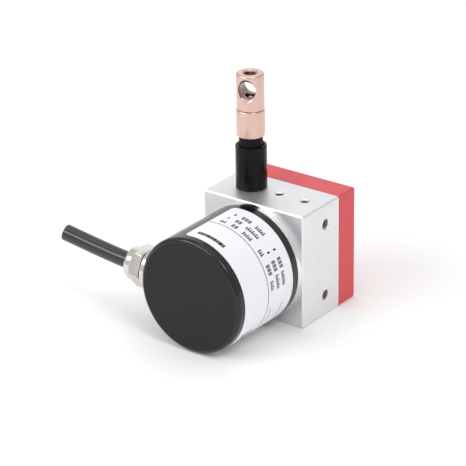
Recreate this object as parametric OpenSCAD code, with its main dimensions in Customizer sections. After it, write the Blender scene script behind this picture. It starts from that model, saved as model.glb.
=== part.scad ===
// Draw wire encoder: a spring-wound wire drum in a square housing turns an incremental encoder.
// Lengths are in millimetres. X is across the housing, +Y runs to the rear cover, +Z is the
// way the wire is drawn. The origin is the centre of the drum housing's base face.

/* [Housing] */
// Width and height of the square drum housing
body_w = 39; // [38:0.5:44]
// Depth of the drum housing along the drum axis
body_d = 20; // [20:0.5:25]
// Depth of the rear cover
cover_d = 9.3; // [8.8:0.1:12]
// Chamfer on the outer edges of housing and cover
edge_chamfer = 0.45; // [0.2:0.05:0.8]
// Front wall of the housing, which carries the encoder
front_wall = 4; // [3.5:0.1:5]
// Back wall of the rear cover
cover_wall = 1.8; // [1.4:0.1:2.4]
// Thickness of the gasket between housing and cover
gasket_t = 0.3; // [0.2:0.05:0.5]
// Distance of the cover screws from the sides of the cover
cover_screw_inset = 3.7; // [3.5:0.1:4]
// Wall between the spring's space and the sides of the cover
case_wall = 3.9; // [3.5:0.1:4.5]
// Length of the cover screws' thread inside the housing
cover_screw_grip = 5; // [4:0.5:6]

/* [Mounting holes] */
// Distance between the two tapped holes in the right side face
side_hole_pitch = 25; // [24:0.5:26]
// Core radius of the side holes
side_hole_r = 1.65; // [1.25:0.05:1.7]
// Distance of the side holes from the rear cover's joint
side_hole_inset = 7.2; // [7:0.1:8]
// Distance between the two tapped holes in the top face
top_hole_pitch = 10; // [9:0.5:10.5]
// Core radius of the top holes
top_hole_r = 1.25; // [1:0.05:1.4]
// Distance of the first top hole from the drum axis
top_hole_start = 2.5; // [2:0.1:3]
// Depth of the mounting holes
mount_hole_depth = 5.5; // [5:0.5:6.5]
// Width of the chamfer at the mouth of each mounting hole
hole_chamfer = 0.4; // [0.2:0.1:0.5]

/* [Drum and wire] */
// Radius of the drum under the wire
drum_r = 8.25; // [8:0.05:8.6]
// Height of the drum's flanges above its core
drum_flange_h = 2.75; // [2:0.25:3]
// Thickness of the drum's front flange, which holds the set screws
front_flange_t = 2.1; // [2:0.1:2.4]
// Thickness of the drum's rear flange
rear_flange_t = 1.2; // [1:0.1:1.6]
// Diameter of the measuring wire
wire_d = 0.4; // [0.3:0.05:0.45]
// Turns of wire on the drum when it is drawn in
wire_turns = 10; // [8:1:10]
// Radius of the shafts
shaft_r = 3; // [2.8:0.05:3.1]
// Outer radius of the ball bearings
bearing_r = 5; // [4.9:0.05:5.5]
// Width of the ball bearings
bearing_w = 3; // [2.8:0.1:3.2]
// Radius of the bearing balls
ball_r = 0.6; // [0.5:0.05:0.65]
// Thickness of the bearing plate
plate_t = 3.5; // [3.5:0.1:4]
// Width of the strip of the power spring
spring_w = 6; // [5:0.25:6.2]
// Thickness of the strip of the power spring
spring_t = 0.3; // [0.2:0.05:0.4]
// Turns of the power spring
spring_turns = 7; // [5:1:8]

/* [Wire outlet] */
// Outer radius of the outlet nozzle
nozzle_r = 5.1; // [4.9:0.1:5.5]
// Height of the nozzle above the housing
nozzle_h = 14.7; // [13:0.1:20]
// Depth of the recess in the nozzle's mouth
nozzle_recess = 2.2; // [1.5:0.1:3]
// Rim thickness round the recess
nozzle_rim = 1.1; // [0.6:0.05:1.2]
// Length of the ceramic wire guide
guide_l = 8; // [5:0.5:9]
// Length of the nozzle's thread in the housing
nozzle_thread_l = 6; // [5:0.5:7]

/* [Wire end] */
// Gap between the rubber stopper and the recess in the nozzle
stopper_gap = 0.15; // [0.1:0.05:0.6]
// Height of the stopper that shows above the nozzle
stopper_show = 3.1; // [2:0.1:6]
// Radius of the lower sleeve
sleeve_r = 4.6; // [4.5:0.05:5]
// Height of the lower sleeve
sleeve_h = 9.2; // [8.2:0.1:11]
// Radius of the upper eye
eye_r = 4.45; // [4.4:0.05:4.6]
// Height of the upper eye
eye_h = 12.05; // [11.8:0.05:14]
// Radius of the cross bore through the eye
cross_bore_r = 3; // [2.8:0.05:3.1]
// Height of the cross bore above the sleeve
cross_bore_h = 7.1; // [6.9:0.1:7.3]
// Core radius of the thread in the top of the eye
eye_thread_r = 2.1; // [1.65:0.05:2.2]
// Radius of the ball that is crimped on the wire
ferrule_r = 1.65; // [1.4:0.05:1.7]
// Angle of the cross bore from the front, about the wire
eye_turn = 18; // [0:1:90]

/* [Encoder] */
// Outer radius of the encoder cover
can_r = 19.3; // [19:0.05:19.3]
// Length of the encoder cover
can_l = 31.4; // [31:0.1:36]
// Wall of the encoder cover
can_wall = 1.3; // [1:0.1:1.5]
// Radius of the rounded front rim
can_rim_r = 1.5; // [0.8:0.1:2]
// Step from the encoder cover down to the bright flange ring
flange_step = 0.1; // [0.1:0.05:0.5]
// Thickness of the flange ring that shows
flange_t = 2.1; // [1.8:0.1:2.5]
// Distance of the flange screws from the axis
flange_screw_ring = 9; // [8.8:0.1:9]
// Space between the code disc and the board posts
disc_gap = 1.1; // [0.8:0.1:1.6]
// Thickness of the circuit board
board_t = 1.6; // [1:0.1:1.8]
// Length of the posts that carry the circuit board
post_l = 11.7; // [11.4:0.1:12]
// Gap between the circuit board and the encoder cover
board_gap = 0.8; // [0.6:0.1:1]
// Width of the label, along the axis
label_w = 25.1; // [20:0.1:26]
// Distance from the flange ring to the label
label_inset = 3.2; // [1.5:0.05:4]
// Half of the angle that the label wraps round, from the right side
label_half_angle = 101; // [80:1:140]

/* [Cable outlet] */
// Distance of the gland's axis from the housing's front face
gland_offset = 23.7; // [23.3:0.1:24.5]
// Radius of the round flange of the gland
gland_flange_r = 7.2; // [6.6:0.1:7.4]
// Thickness of that flange
gland_flange_t = 2.1; // [1.5:0.1:2.5]
// Size of the gland nut across its flats
gland_flats = 12; // [11.5:0.1:12.6]
// Length of the hexagon of the gland nut
gland_hex_l = 4.2; // [3.5:0.1:5]
// Length of the round collar of the gland nut
gland_collar_l = 3.3; // [2.5:0.1:4]
// Diameter of the cable
cable_d = 5.5; // [5:0.1:5.6]

/* [Fits] */
// Radial clearance of parts that turn or slide in each other
running_gap = 0.05; // [0.02:0.01:0.08]
// Radial clearance of parts that are pushed together
seat_gap = 0.02; // [0.01:0.005:0.03]
// Free space round the turning drum
drum_gap = 0.5; // [0.4:0.05:0.7]
// Space under the stopper when the wire is drawn in
rest_gap = 0.1; // [0.05:0.05:0.3]

/* [Hidden] */

$fn = 48;
eps = 0.01;

// Places along the drum axis
axis_z = body_w / 2;
y_front = -body_d / 2;
y_joint = body_d / 2;
y_cover = y_joint + gasket_t;
y_back = y_cover + cover_d - gasket_t;
y_cavity = y_front + front_wall;
y_plate = y_joint - plate_t;
drum_y0 = y_cavity + drum_gap;
drum_y1 = y_plate - drum_gap;

cover_screw_offset = axis_z - cover_screw_inset;

// Screws: thread radius and head radius of each kind, and the clearances of their holes
cover_screw_r = 1.2;
cover_head_r = 2.55;
plate_screw_r = 0.77;
plate_head_r = 1.55;
plate_screw_l = 3;
plate_screw_angles = [30, 150, 270];
flange_screw_r = 1.05;
flange_head_r = 2.2;
flange_screw_angles = [45, 165, 285];
board_screw_r = 0.72;
thread_gap = 0.03;
screw_gap = 0.2;
head_sink = 0.08;

// Drum, wire and bearings
drum_flange_r = drum_r + drum_flange_h;
cavity_r = drum_flange_r + 2 * drum_gap;
wire_pitch = wire_d + 0.03;
winding_y0 = drum_y0 + front_flange_t;
wire_y = winding_y0 + (wire_turns + 0.5) * wire_pitch;
winding_y1 = wire_y + wire_pitch;
wire_x = -(drum_r + wire_d / 2);
drum_hub_r = 5.5;
set_screw_r = 0.8;
race_r = (shaft_r + bearing_r) / 2;
ring_t = 0.65;
ball_count = 8;
race_gap = 0.03;
front_bearing_y = y_front + 0.8;
rear_bearing_y = y_front - 8.7;
drum_bearing_y = y_plate + bearing_w / 2;
bearing_ys = [rear_bearing_y, front_bearing_y, drum_bearing_y];
clip_t = 0.45;
clip_r = shaft_r + 0.85;
clip_groove = 0.2;
clip_ys = [rear_bearing_y - bearing_w / 2 - clip_t, front_bearing_y + bearing_w / 2,
           drum_bearing_y + bearing_w / 2];
shaft_join_y = (drum_y0 + drum_y1) / 2;

// Bearing plate and power spring
plate_r = cavity_r + 3.4;
plate_screw_ring = cavity_r + 1.7;
spring_case_r = axis_z - case_wall;
y_case = y_back - cover_wall;
arbor_r = shaft_r + 1.8;
spring_in_r = arbor_r + 0.5;
anchor_r = 0.7;
anchor_ring = spring_case_r - anchor_r - 0.15;
anchor_angle = 12;
spring_out_r = anchor_ring - anchor_r - 0.08 - spring_t;
spring_y0 = y_case - 0.6 - spring_w;

// Wire outlet and wire end
nozzle_top = body_w + nozzle_h;
recess_r = nozzle_r - nozzle_rim;
recess_floor = nozzle_top - nozzle_recess;
stopper_r = recess_r - stopper_gap;
nozzle_thread_r = 4;
guide_r = 2.5;
guide_bore_r = wire_d / 2 + 0.15;
wire_hole_r = wire_d / 2 + 0.3;
nozzle_bore_r = wire_hole_r + 0.3;
stopper_z0 = recess_floor + rest_gap;
sleeve_z0 = nozzle_top + stopper_show;
stopper_neck_r = 2;
stopper_neck_h = 1.9;
eye_z0 = sleeve_z0 + sleeve_h;
eye_top = eye_z0 + eye_h;
eye_spigot_r = 3;
eye_spigot_h = 5.4;
swivel_gap = 0.06;
cross_bore_z = eye_z0 + cross_bore_h;
ferrule_bore_r = ferrule_r + 0.1;
ferrule_depth = 0.1;
ferrule_z = cross_bore_z - cross_bore_r - ferrule_depth - ferrule_r;
eye_countersink = 0.85;

// Encoder
y_can = y_front - flange_t;
y_can_front = y_can - can_l;
can_in_r = can_r - can_wall;
flange_r = can_r - flange_step;
step_r = can_in_r - seat_gap;
step_t = 2;
y_step = y_can - step_t;
spigot_r = 6.5;
spigot_l = front_wall / 2;
hub_r = bearing_r + 3;
y_hub = rear_bearing_y - bearing_w / 2 - 0.2;
post_r = 1.6;
board_r = can_in_r - board_gap;
post_ring = board_r - 2;
disc_r = post_ring - post_r - disc_gap;
post_angles = [90, 210, 330];
post_stud_r = 0.88;
post_stud_l = 1.5;
y_board = y_step - post_l;
y_board_front = y_board - board_t;
disc_t = 0.5;
y_disc = (y_hub + y_board) / 2 - 0.4;
disc_hub_r = 5;
y_shaft_end = y_board + 0.9;
sensor_ring = disc_r - 1.9;
sensor_w = 7;
sensor_h = 5;
emitter_r = 1;
emitter_l = 2;
holder_t = 2;
chip_rows = 4;
capacitor_r = 2.2;
capacitor_h = 5.5;
capacitor_ring = board_r - 4.2;
capacitor_angles = [2, 27];
connector_w = 5;
connector_h = 9;
can_front_t = can_wall;
seal_r = 0.5;
seal_groove = 2 * seal_r + 0.02;
label_t = 0.12;

// Cable outlet
gland_y = y_front - gland_offset;
pad_r = 6.6;
pad_in = can_r - 3;
gland_seat = can_r + 0.9;
gland_thread_r = 4;
gland_gap_l = 0.9;
gland_nut_z = gland_seat + gland_flange_t + gland_gap_l;
gland_mouth = gland_nut_z + gland_hex_l + gland_collar_l;
gland_hex_r = gland_flats / 2 / cos(30);
gland_hex_turn = 25;
collar_r = gland_flats / 2 - 0.55;
cable_r = cable_d / 2;
cable_bore_r = cable_r + 0.05;
lock_nut_l = 1.7;
gland_socket_r = gland_thread_r + 0.6;
insert_t = 1.3;
gland_thread_end = gland_nut_z + gland_hex_l - 0.5;
board_flat_x = pad_in - 0.5;

// The middle of the cable, from inside the encoder to its cut end: X, and its way off the gland's axis
cable_path = [
  [-13, 0], [-17, 0], [-21, 0], [-25, 0], [-29, 0], [-31, 0.1], [-33, 0.3], [-35, 0.6],
  [-37, 1], [-39, 1.4], [-42, 2.1], [-45, 2.8], [-48, 3.6], [-51, 4.4], [-53.5, 5.1],
  [-55.7, 5.7]
];
// The way that the cable bends: 0 is to the back, 90 up and 180 to the front
cable_bend_way = 120;
cable_points = [for (p = cable_path) [p[0], p[1], 0]];
cable_start_x = cable_path[0][0];
core_r = 0.45;
core_ring = 1.6;
connector_x = -9;
cable_sides = 12;

// A cylinder on the drum axis from y0 to y1
module cyl_y(y0, y1, r) {
  translate([0, y0, axis_z]) rotate([-90, 0, 0]) cylinder(r = r, h = y1 - y0);
}

// A cylinder from y0 to y1 on a line parallel to the drum axis
module rod_y(x, z, y0, y1, r) {
  translate([x, y0, axis_z + z]) rotate([-90, 0, 0]) cylinder(r = r, h = y1 - y0);
}

// A cone on a line parallel to the drum axis
module cone_y(x, z, y0, y1, r0, r1) {
  translate([x, y0, axis_z + z]) rotate([-90, 0, 0]) cylinder(r1 = r0, r2 = r1, h = y1 - y0);
}

// A profile of radius and y, turned about the drum axis
module turned_y(points, sweep = 360) {
  translate([0, 0, axis_z]) rotate([-90, 0, 0]) rotate([0, 0, -sweep / 2])
    rotate_extrude(angle = sweep) polygon(points);
}

// A cylinder on the wire's line from z0 to z1
module cyl_wire(z0, z1, r) {
  translate([wire_x, wire_y, z0]) cylinder(r = r, h = z1 - z0);
}

// A profile of radius and height, turned about the wire's line
module turned_wire(points) {
  translate([wire_x, wire_y, 0]) rotate_extrude() polygon(points);
}

// The gland's own frame, whose height is the distance from the encoder's axis
module at_gland() {
  translate([0, gland_y, axis_z]) rotate([0, -90, 0]) children();
}

// Points of an arc round a centre
function arc(x, y, r, a0, a1, steps = 8) =
  [for (i = [0 : steps]) let (a = a0 + (a1 - a0) * i / steps) [x + r * cos(a), y + r * sin(a)]];

// A square block about the drum axis, with chamfered corners along the axis and end edges
module chamfered_block(y0, y1, w, c) {
  intersection() {
    translate([-w / 2, y0, axis_z - w / 2]) cube([w, y1 - y0, w]);
    translate([0, y1, axis_z]) rotate([90, 0, 0]) linear_extrude(height = y1 - y0)
      polygon([[-w / 2 + c, -w / 2], [w / 2 - c, -w / 2], [w / 2, -w / 2 + c], [w / 2, w / 2 - c],
               [w / 2 - c, w / 2], [-w / 2 + c, w / 2], [-w / 2, w / 2 - c], [-w / 2, -w / 2 + c]]);
  }
}

// A wedge that takes the chamfer off the four front or back edges of a square block
module end_chamfer(y, w, c) {
  for (turn = [0 : 90 : 270])
    translate([0, y, axis_z]) rotate([0, turn, 0]) translate([0, 0, w / 2])
      rotate([45, 0, 0]) cube([w + 2, c * sqrt(2), c * sqrt(2)], center = true);
}

// A tapped hole, as its core and the chamfer at its mouth, opening towards +Z
module tapped(r, depth) {
  translate([0, 0, -depth]) cylinder(r = r, h = depth + eps);
  translate([0, 0, -hole_chamfer]) cylinder(r1 = r, r2 = r + hole_chamfer + eps, h = hole_chamfer + eps);
}

// Places of screws: the four corners of a square, and angles on a ring
function ring_places(r, angles) = [for (a = angles) [r * cos(a), r * sin(a)]];
function corner_places(d) = [for (sx = [-1, 1], sz = [-1, 1]) [sx * d, sz * d]];

// A clearance hole from y0 to y_mouth with a seat for a countersunk head
module screw_hole(p, y0, y_mouth, r, head_r) {
  rod_y(p[0], p[1], y0 - eps, y_mouth + eps, r + screw_gap);
  cone_y(p[0], p[1], y_mouth - head_r + r, y_mouth + eps, r + screw_gap, head_r + screw_gap + eps);
}

// A countersunk screw with its tip at y_tip, sunk below the mouth of its hole
module countersunk(p, y_tip, y_mouth, r, head_r) {
  head_h = head_r - r;
  y_head = y_mouth - head_sink;
  difference() {
    union() {
      rod_y(p[0], p[1], y_tip, y_head - head_h + eps, r);
      cone_y(p[0], p[1], y_head - head_h, y_head, r, head_r);
    }
    translate([p[0], y_head - head_h * 0.9, axis_z + p[1]]) rotate([-90, 30, 0])
      cylinder(r = head_r * 0.42, h = head_h + 1, $fn = 6);
  }
}

module drum_housing() {
  color([0.82, 0.83, 0.84]) difference() {
    chamfered_block(y_front, y_joint, body_w, edge_chamfer);
    end_chamfer(y_front, body_w, edge_chamfer);
    cyl_y(y_cavity, y_joint + eps, cavity_r);
    cyl_y(y_plate, y_joint + eps, plate_r + seat_gap);
    cyl_y(y_front - eps, y_cavity + eps, spigot_r + seat_gap);
    for (p = corner_places(cover_screw_offset))
      rod_y(p[0], p[1], y_joint - cover_screw_grip - 0.5, y_joint + eps, cover_screw_r + thread_gap);
    for (p = ring_places(plate_screw_ring, plate_screw_angles))
      rod_y(p[0], p[1], y_plate - plate_screw_l, y_plate + eps, plate_screw_r + thread_gap);
    for (p = ring_places(flange_screw_ring, flange_screw_angles))
      screw_hole(p, y_front, y_cavity, flange_screw_r, flange_head_r);
    // nozzle thread, and the wire's way down into the cavity
    cyl_wire(body_w - nozzle_thread_l, body_w + eps, nozzle_thread_r + seat_gap);
    cyl_wire(axis_z, body_w, nozzle_bore_r + 0.4);
    for (i = [0, 1])
      translate([top_hole_start + i * top_hole_pitch, wire_y, body_w])
        tapped(top_hole_r, mount_hole_depth);
    for (z = [-1, 1])
      translate([body_w / 2, y_joint - side_hole_inset, axis_z + z * side_hole_pitch / 2])
        rotate([0, 90, 0]) tapped(side_hole_r, mount_hole_depth);
  }
}

module rear_cover() {
  color([0.80, 0.16, 0.20]) difference() {
    chamfered_block(y_cover, y_back, body_w, edge_chamfer);
    end_chamfer(y_back, body_w, edge_chamfer);
    cyl_y(y_cover - eps, y_case, spring_case_r);
    for (p = corner_places(cover_screw_offset))
      screw_hole(p, y_cover, y_back, cover_screw_r, cover_head_r);
    for (p = ring_places(anchor_ring, [anchor_angle]))
      rod_y(p[0], p[1], y_case - eps, y_case + 0.8, anchor_r + seat_gap);
  }
}

module cover_gasket() {
  color([0.12, 0.12, 0.13]) difference() {
    chamfered_block(y_joint, y_cover, body_w - 2 * edge_chamfer, edge_chamfer);
    cyl_y(y_joint - eps, y_cover + eps, spring_case_r);
    for (p = corner_places(cover_screw_offset))
      rod_y(p[0], p[1], y_joint - eps, y_cover + eps, cover_screw_r + screw_gap);
  }
}

module cover_screws() {
  color([0.30, 0.30, 0.32]) for (p = corner_places(cover_screw_offset))
    countersunk(p, y_joint - cover_screw_grip, y_back, cover_screw_r, cover_head_r);
}

module bearing_plate() {
  lip = plate_t - bearing_w;
  color([0.70, 0.71, 0.73]) difference() {
    cyl_y(y_plate, y_joint, plate_r);
    cyl_y(y_plate - eps, y_joint + eps, bearing_r - 0.6);
    cyl_y(y_plate - eps, y_joint - lip, bearing_r + seat_gap);
    for (p = ring_places(plate_screw_ring, plate_screw_angles))
      screw_hole(p, y_plate, y_joint, plate_screw_r, plate_head_r);
  }
}

module plate_screws() {
  color([0.55, 0.56, 0.58]) for (p = ring_places(plate_screw_ring, plate_screw_angles))
    countersunk(p, y_plate - plate_screw_l + 0.3, y_joint, plate_screw_r, plate_head_r);
}

// The spring's radius falls quickly near the hub and slowly near the wall, as in a wound-down spring
function spring_radius(t) = spring_in_r + (spring_out_r - spring_in_r) * pow(t, 0.6);
function spring_point(t, side) =
  let (a = anchor_angle + 5 - 360 * spring_turns * (1 - t), r = spring_radius(t) + side * spring_t)
  [r * cos(a), -r * sin(a)];

module power_spring() {
  steps = spring_turns * 18;
  inner = [for (i = [0 : steps]) spring_point(i / steps, 0)];
  outer = [for (i = [steps : -1 : 0]) spring_point(i / steps, 1)];
  color([0.36, 0.40, 0.46]) translate([0, spring_y0, axis_z]) rotate([-90, 0, 0])
    linear_extrude(height = spring_w) polygon(concat(inner, outer));
}

module spring_anchor() {
  color([0.6, 0.6, 0.62]) for (p = ring_places(anchor_ring, [anchor_angle]))
    rod_y(p[0], p[1], spring_y0, y_case + 0.75, anchor_r);
}

module wire_drum() {
  color([0.75, 0.76, 0.78]) difference() {
    turned_y([
      [shaft_r + seat_gap, drum_y0], [drum_flange_r, drum_y0], [drum_flange_r, winding_y0 - 0.35],
      [drum_flange_r - 0.35, winding_y0], [drum_r - seat_gap, winding_y0],
      [drum_r - seat_gap, winding_y1], [drum_flange_r - 0.35, winding_y1],
      [drum_flange_r, winding_y1 + 0.35], [drum_flange_r, winding_y1 + rear_flange_t],
      [drum_hub_r, winding_y1 + rear_flange_t], [drum_hub_r, drum_y1], [shaft_r + seat_gap, drum_y1]
    ]);
    for (a = [0, 90])
      translate([0, drum_y0 + front_flange_t / 2, axis_z]) rotate([0, a, 0])
        cylinder(r = set_screw_r + seat_gap, h = drum_flange_r + 1);
  }
}

module drum_set_screws() {
  color([0.15, 0.15, 0.16]) for (a = [0, 90])
    translate([0, drum_y0 + front_flange_t / 2, axis_z]) rotate([0, a, 0]) difference() {
      translate([0, 0, shaft_r + seat_gap]) cylinder(r = set_screw_r, h = 4);
      translate([0, 0, shaft_r + 3]) cylinder(r = set_screw_r / 2, h = 2, $fn = 6);
    }
}

module wound_wire() {
  color([0.60, 0.61, 0.62]) for (k = [0 : wire_turns - 1])
    translate([0, winding_y0 + (k + 0.5) * wire_pitch, axis_z]) rotate([-90, 0, 0])
      rotate_extrude() translate([drum_r + wire_d / 2, 0]) circle(r = wire_d / 2, $fn = 24);
}

// Groove for a circlip, cut into a shaft
module clip_cut(y) {
  difference() {
    cyl_y(y, y + clip_t, shaft_r + 0.5);
    cyl_y(y - eps, y + clip_t + eps, shaft_r - clip_groove);
  }
}

module drum_shaft() {
  color([0.66, 0.67, 0.69]) difference() {
    turned_y([
      [0, shaft_join_y + 0.2], [shaft_r - 0.3, shaft_join_y + 0.2], [shaft_r, shaft_join_y + 0.5],
      [shaft_r, y_case - 0.6], [shaft_r - 0.3, y_case - 0.3], [0, y_case - 0.3]
    ]);
    clip_cut(clip_ys[2]);
  }
}

module spring_arbor() {
  color([0.62, 0.55, 0.36]) difference() {
    turned_y([
      [shaft_r + seat_gap, spring_y0 - 0.2], [arbor_r, spring_y0 - 0.2], [arbor_r, y_case - 0.5],
      [shaft_r + seat_gap, y_case - 0.5]
    ]);
    translate([arbor_r - 1, spring_y0 - 1, axis_z - 0.35]) cube([2, spring_w + 3, 0.7]);
  }
}

// Half of a bearing ring's section: radius from r0 to r1, with the ball's groove
module race(y, r0, r1) {
  translate([0, y, axis_z]) rotate([-90, 0, 0]) rotate_extrude() difference() {
    translate([r0, -bearing_w / 2]) square([r1 - r0, bearing_w]);
    translate([race_r, 0]) circle(r = ball_r + race_gap);
  }
}

module bearing_outer_rings() {
  color([0.72, 0.73, 0.75]) for (y = bearing_ys) race(y, bearing_r - ring_t, bearing_r);
}

module bearing_inner_rings() {
  color([0.72, 0.73, 0.75]) for (y = bearing_ys)
    race(y, shaft_r + seat_gap, shaft_r + ring_t);
}

module bearing_balls() {
  color([0.80, 0.81, 0.83]) for (y = bearing_ys, i = [0 : ball_count - 1])
    translate([race_r * cos(i * 360 / ball_count), y, axis_z + race_r * sin(i * 360 / ball_count)])
      sphere(r = ball_r);
}

module shaft_circlips() {
  open_w = 2.6;
  color([0.18, 0.18, 0.19]) for (y = clip_ys) difference() {
    cyl_y(y + seat_gap, y + clip_t - seat_gap, clip_r);
    cyl_y(y - eps, y + clip_t + eps, shaft_r - clip_groove + seat_gap);
    translate([-open_w / 2, y - 1, axis_z]) cube([open_w, clip_t + 2, clip_r + 1]);
  }
}

module wire_nozzle() {
  edge = 0.35;
  color([0.07, 0.07, 0.08]) turned_wire([
    [nozzle_bore_r, body_w - nozzle_thread_l], [nozzle_thread_r, body_w - nozzle_thread_l],
    [nozzle_thread_r, body_w], [nozzle_r, body_w], [nozzle_r, nozzle_top - edge],
    [nozzle_r - edge, nozzle_top], [recess_r, nozzle_top], [recess_r, recess_floor],
    [guide_r + seat_gap, recess_floor], [guide_r + seat_gap, recess_floor - guide_l],
    [nozzle_bore_r, recess_floor - guide_l]
  ]);
}

module wire_guide() {
  mouth_r = 0.9;
  color([0.90, 0.89, 0.85]) turned_wire(concat(
    [[guide_bore_r, recess_floor - guide_l + 0.1], [guide_r, recess_floor - guide_l + 0.1],
     [guide_r, recess_floor - 0.1]],
    arc(guide_bore_r + mouth_r, recess_floor - 0.1 - mouth_r, mouth_r, 90, 180, 6)
  ));
}

module draw_wire() {
  color([0.62, 0.63, 0.64]) cyl_wire(axis_z, ferrule_z, wire_d / 2);
}

module wire_ferrule() {
  tail_h = 1;
  color([0.70, 0.70, 0.70]) difference() {
    translate([wire_x, wire_y, ferrule_z]) sphere(r = ferrule_r);
    cyl_wire(ferrule_z - ferrule_r - tail_h, ferrule_z + eps, wire_d / 2 + seat_gap);
  }
}

module rubber_stopper() {
  bead = 0.4;
  color([0.10, 0.10, 0.11]) turned_wire([
    [wire_d / 2 + seat_gap, stopper_z0], [stopper_r - bead, stopper_z0],
    [stopper_r, stopper_z0 + bead], [stopper_r, sleeve_z0],
    [stopper_neck_r, sleeve_z0], [stopper_neck_r, sleeve_z0 + stopper_neck_h],
    [wire_d / 2 + seat_gap, sleeve_z0 + stopper_neck_h]
  ]);
}

module wire_sleeve() {
  edge = 0.4;
  floor_z = eye_z0 - eye_spigot_h - 0.2;
  color([0.84, 0.70, 0.65]) turned_wire([
    [stopper_neck_r + seat_gap, sleeve_z0], [sleeve_r - edge, sleeve_z0],
    [sleeve_r, sleeve_z0 + edge], [sleeve_r, eye_z0 - swivel_gap - edge],
    [sleeve_r - edge, eye_z0 - swivel_gap], [eye_spigot_r + running_gap, eye_z0 - swivel_gap],
    [eye_spigot_r + running_gap, floor_z], [wire_hole_r, floor_z],
    [wire_hole_r, sleeve_z0 + stopper_neck_h + 0.05],
    [stopper_neck_r + seat_gap, sleeve_z0 + stopper_neck_h + 0.05]
  ]);
}

module wire_eye() {
  edge = 0.35;
  thread_chamfer = 0.5;
  cone_start = eye_r - eye_countersink;
  step_z = ferrule_z - ferrule_r - 0.05;
  color([0.84, 0.70, 0.65]) difference() {
    turned_wire([
      [0, eye_z0 - eye_spigot_h], [eye_spigot_r - 0.3, eye_z0 - eye_spigot_h],
      [eye_spigot_r, eye_z0 - eye_spigot_h + 0.3], [eye_spigot_r, eye_z0], [eye_r - edge, eye_z0],
      [eye_r, eye_z0 + edge], [eye_r, eye_top - edge], [eye_r - edge, eye_top], [0, eye_top]
    ]);
    cyl_wire(eye_z0 - eye_spigot_h - eps, cross_bore_z, wire_hole_r);
    cyl_wire(step_z, cross_bore_z, ferrule_bore_r);
    cyl_wire(cross_bore_z, eye_top + eps, eye_thread_r);
    translate([wire_x, wire_y, eye_top - thread_chamfer])
      cylinder(r1 = eye_thread_r, r2 = eye_thread_r + thread_chamfer + eps, h = thread_chamfer + eps);
    translate([wire_x, wire_y, cross_bore_z]) rotate([0, 0, eye_turn]) {
      rotate([90, 0, 0]) translate([0, 0, -eye_r - 1]) cylinder(r = cross_bore_r, h = 2 * eye_r + 2);
      for (way = [90, -90])
        rotate([way, 0, 0]) translate([0, 0, cone_start])
          cylinder(r1 = cross_bore_r, r2 = cross_bore_r + 1.5, h = 1.5);
    }
  }
}

module encoder_flange() {
  groove_y = (y_can + y_step) / 2;
  color([0.80, 0.81, 0.82]) difference() {
    turned_y([
      [shaft_r + 0.6, y_hub], [hub_r, y_hub], [hub_r, y_step], [step_r, y_step],
      [step_r, groove_y - seal_r], [step_r - seal_groove, groove_y - seal_r],
      [step_r - seal_groove, groove_y + seal_r], [step_r, groove_y + seal_r], [step_r, y_can],
      [flange_r, y_can], [flange_r, y_front], [spigot_r, y_front],
      [spigot_r, y_front + spigot_l], [shaft_r + 0.6, y_front + spigot_l]
    ]);
    cyl_y(front_bearing_y - bearing_w / 2 - 0.02, y_front + spigot_l + eps, bearing_r + seat_gap);
    cyl_y(y_hub - eps, rear_bearing_y + bearing_w / 2 + 0.02, bearing_r + seat_gap);
    for (p = ring_places(flange_screw_ring, flange_screw_angles))
      rod_y(p[0], p[1], y_step - eps, y_front + eps, flange_screw_r + thread_gap);
    for (p = ring_places(post_ring, post_angles))
      rod_y(p[0], p[1], y_step - eps, y_step + post_stud_l + 0.1, post_stud_r + thread_gap);
  }
}

module flange_screws() {
  color([0.55, 0.56, 0.58]) for (p = ring_places(flange_screw_ring, flange_screw_angles))
    countersunk(p, y_step + 0.3, y_cavity, flange_screw_r, flange_head_r);
}

module cover_seal() {
  color([0.08, 0.08, 0.09]) translate([0, (y_can + y_step) / 2, axis_z]) rotate([-90, 0, 0])
    rotate_extrude() translate([step_r - seal_r, 0]) circle(r = seal_r - 0.02, $fn = 24);
}

module encoder_cover() {
  y_in = y_can_front + can_front_t;
  color([0.09, 0.09, 0.10]) difference() {
    union() {
      turned_y(concat(
        [[0, y_can_front]],
        arc(can_r - can_rim_r, y_can_front + can_rim_r, can_rim_r, -90, 0),
        [[can_r, y_can], [can_in_r, y_can], [can_in_r, y_in], [0, y_in]]
      ));
      at_gland() translate([0, 0, pad_in]) cylinder(r = pad_r, h = gland_seat - pad_in);
    }
    at_gland() translate([0, 0, pad_in - 2 * lock_nut_l])
      cylinder(r = gland_thread_r + seat_gap, h = gland_seat - pad_in + 2 * lock_nut_l + eps);
  }
}

module encoder_label() {
  y1 = y_can - label_inset;
  y0 = y1 - label_w;
  color([0.95, 0.95, 0.97]) turned_y([
    [can_r + seat_gap, y0], [can_r + seat_gap + label_t, y0],
    [can_r + seat_gap + label_t, y1], [can_r + seat_gap, y1]
  ], 2 * label_half_angle);
}

module encoder_shaft() {
  color([0.66, 0.67, 0.69]) difference() {
    turned_y([
      [0, y_shaft_end], [shaft_r - 0.3, y_shaft_end], [shaft_r, y_shaft_end + 0.3],
      [shaft_r, shaft_join_y - 0.5], [shaft_r - 0.3, shaft_join_y - 0.2], [0, shaft_join_y - 0.2]
    ]);
    for (i = [0, 1]) clip_cut(clip_ys[i]);
  }
}

module disc_hub() {
  color([0.72, 0.60, 0.30]) turned_y([
    [shaft_r + seat_gap, y_shaft_end + 0.1], [disc_hub_r, y_shaft_end + 0.1], [disc_hub_r, y_disc],
    [shaft_r + seat_gap + 0.6, y_disc], [shaft_r + seat_gap + 0.6, y_disc + disc_t + 0.3],
    [shaft_r + seat_gap, y_disc + disc_t + 0.3]
  ]);
}

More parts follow.
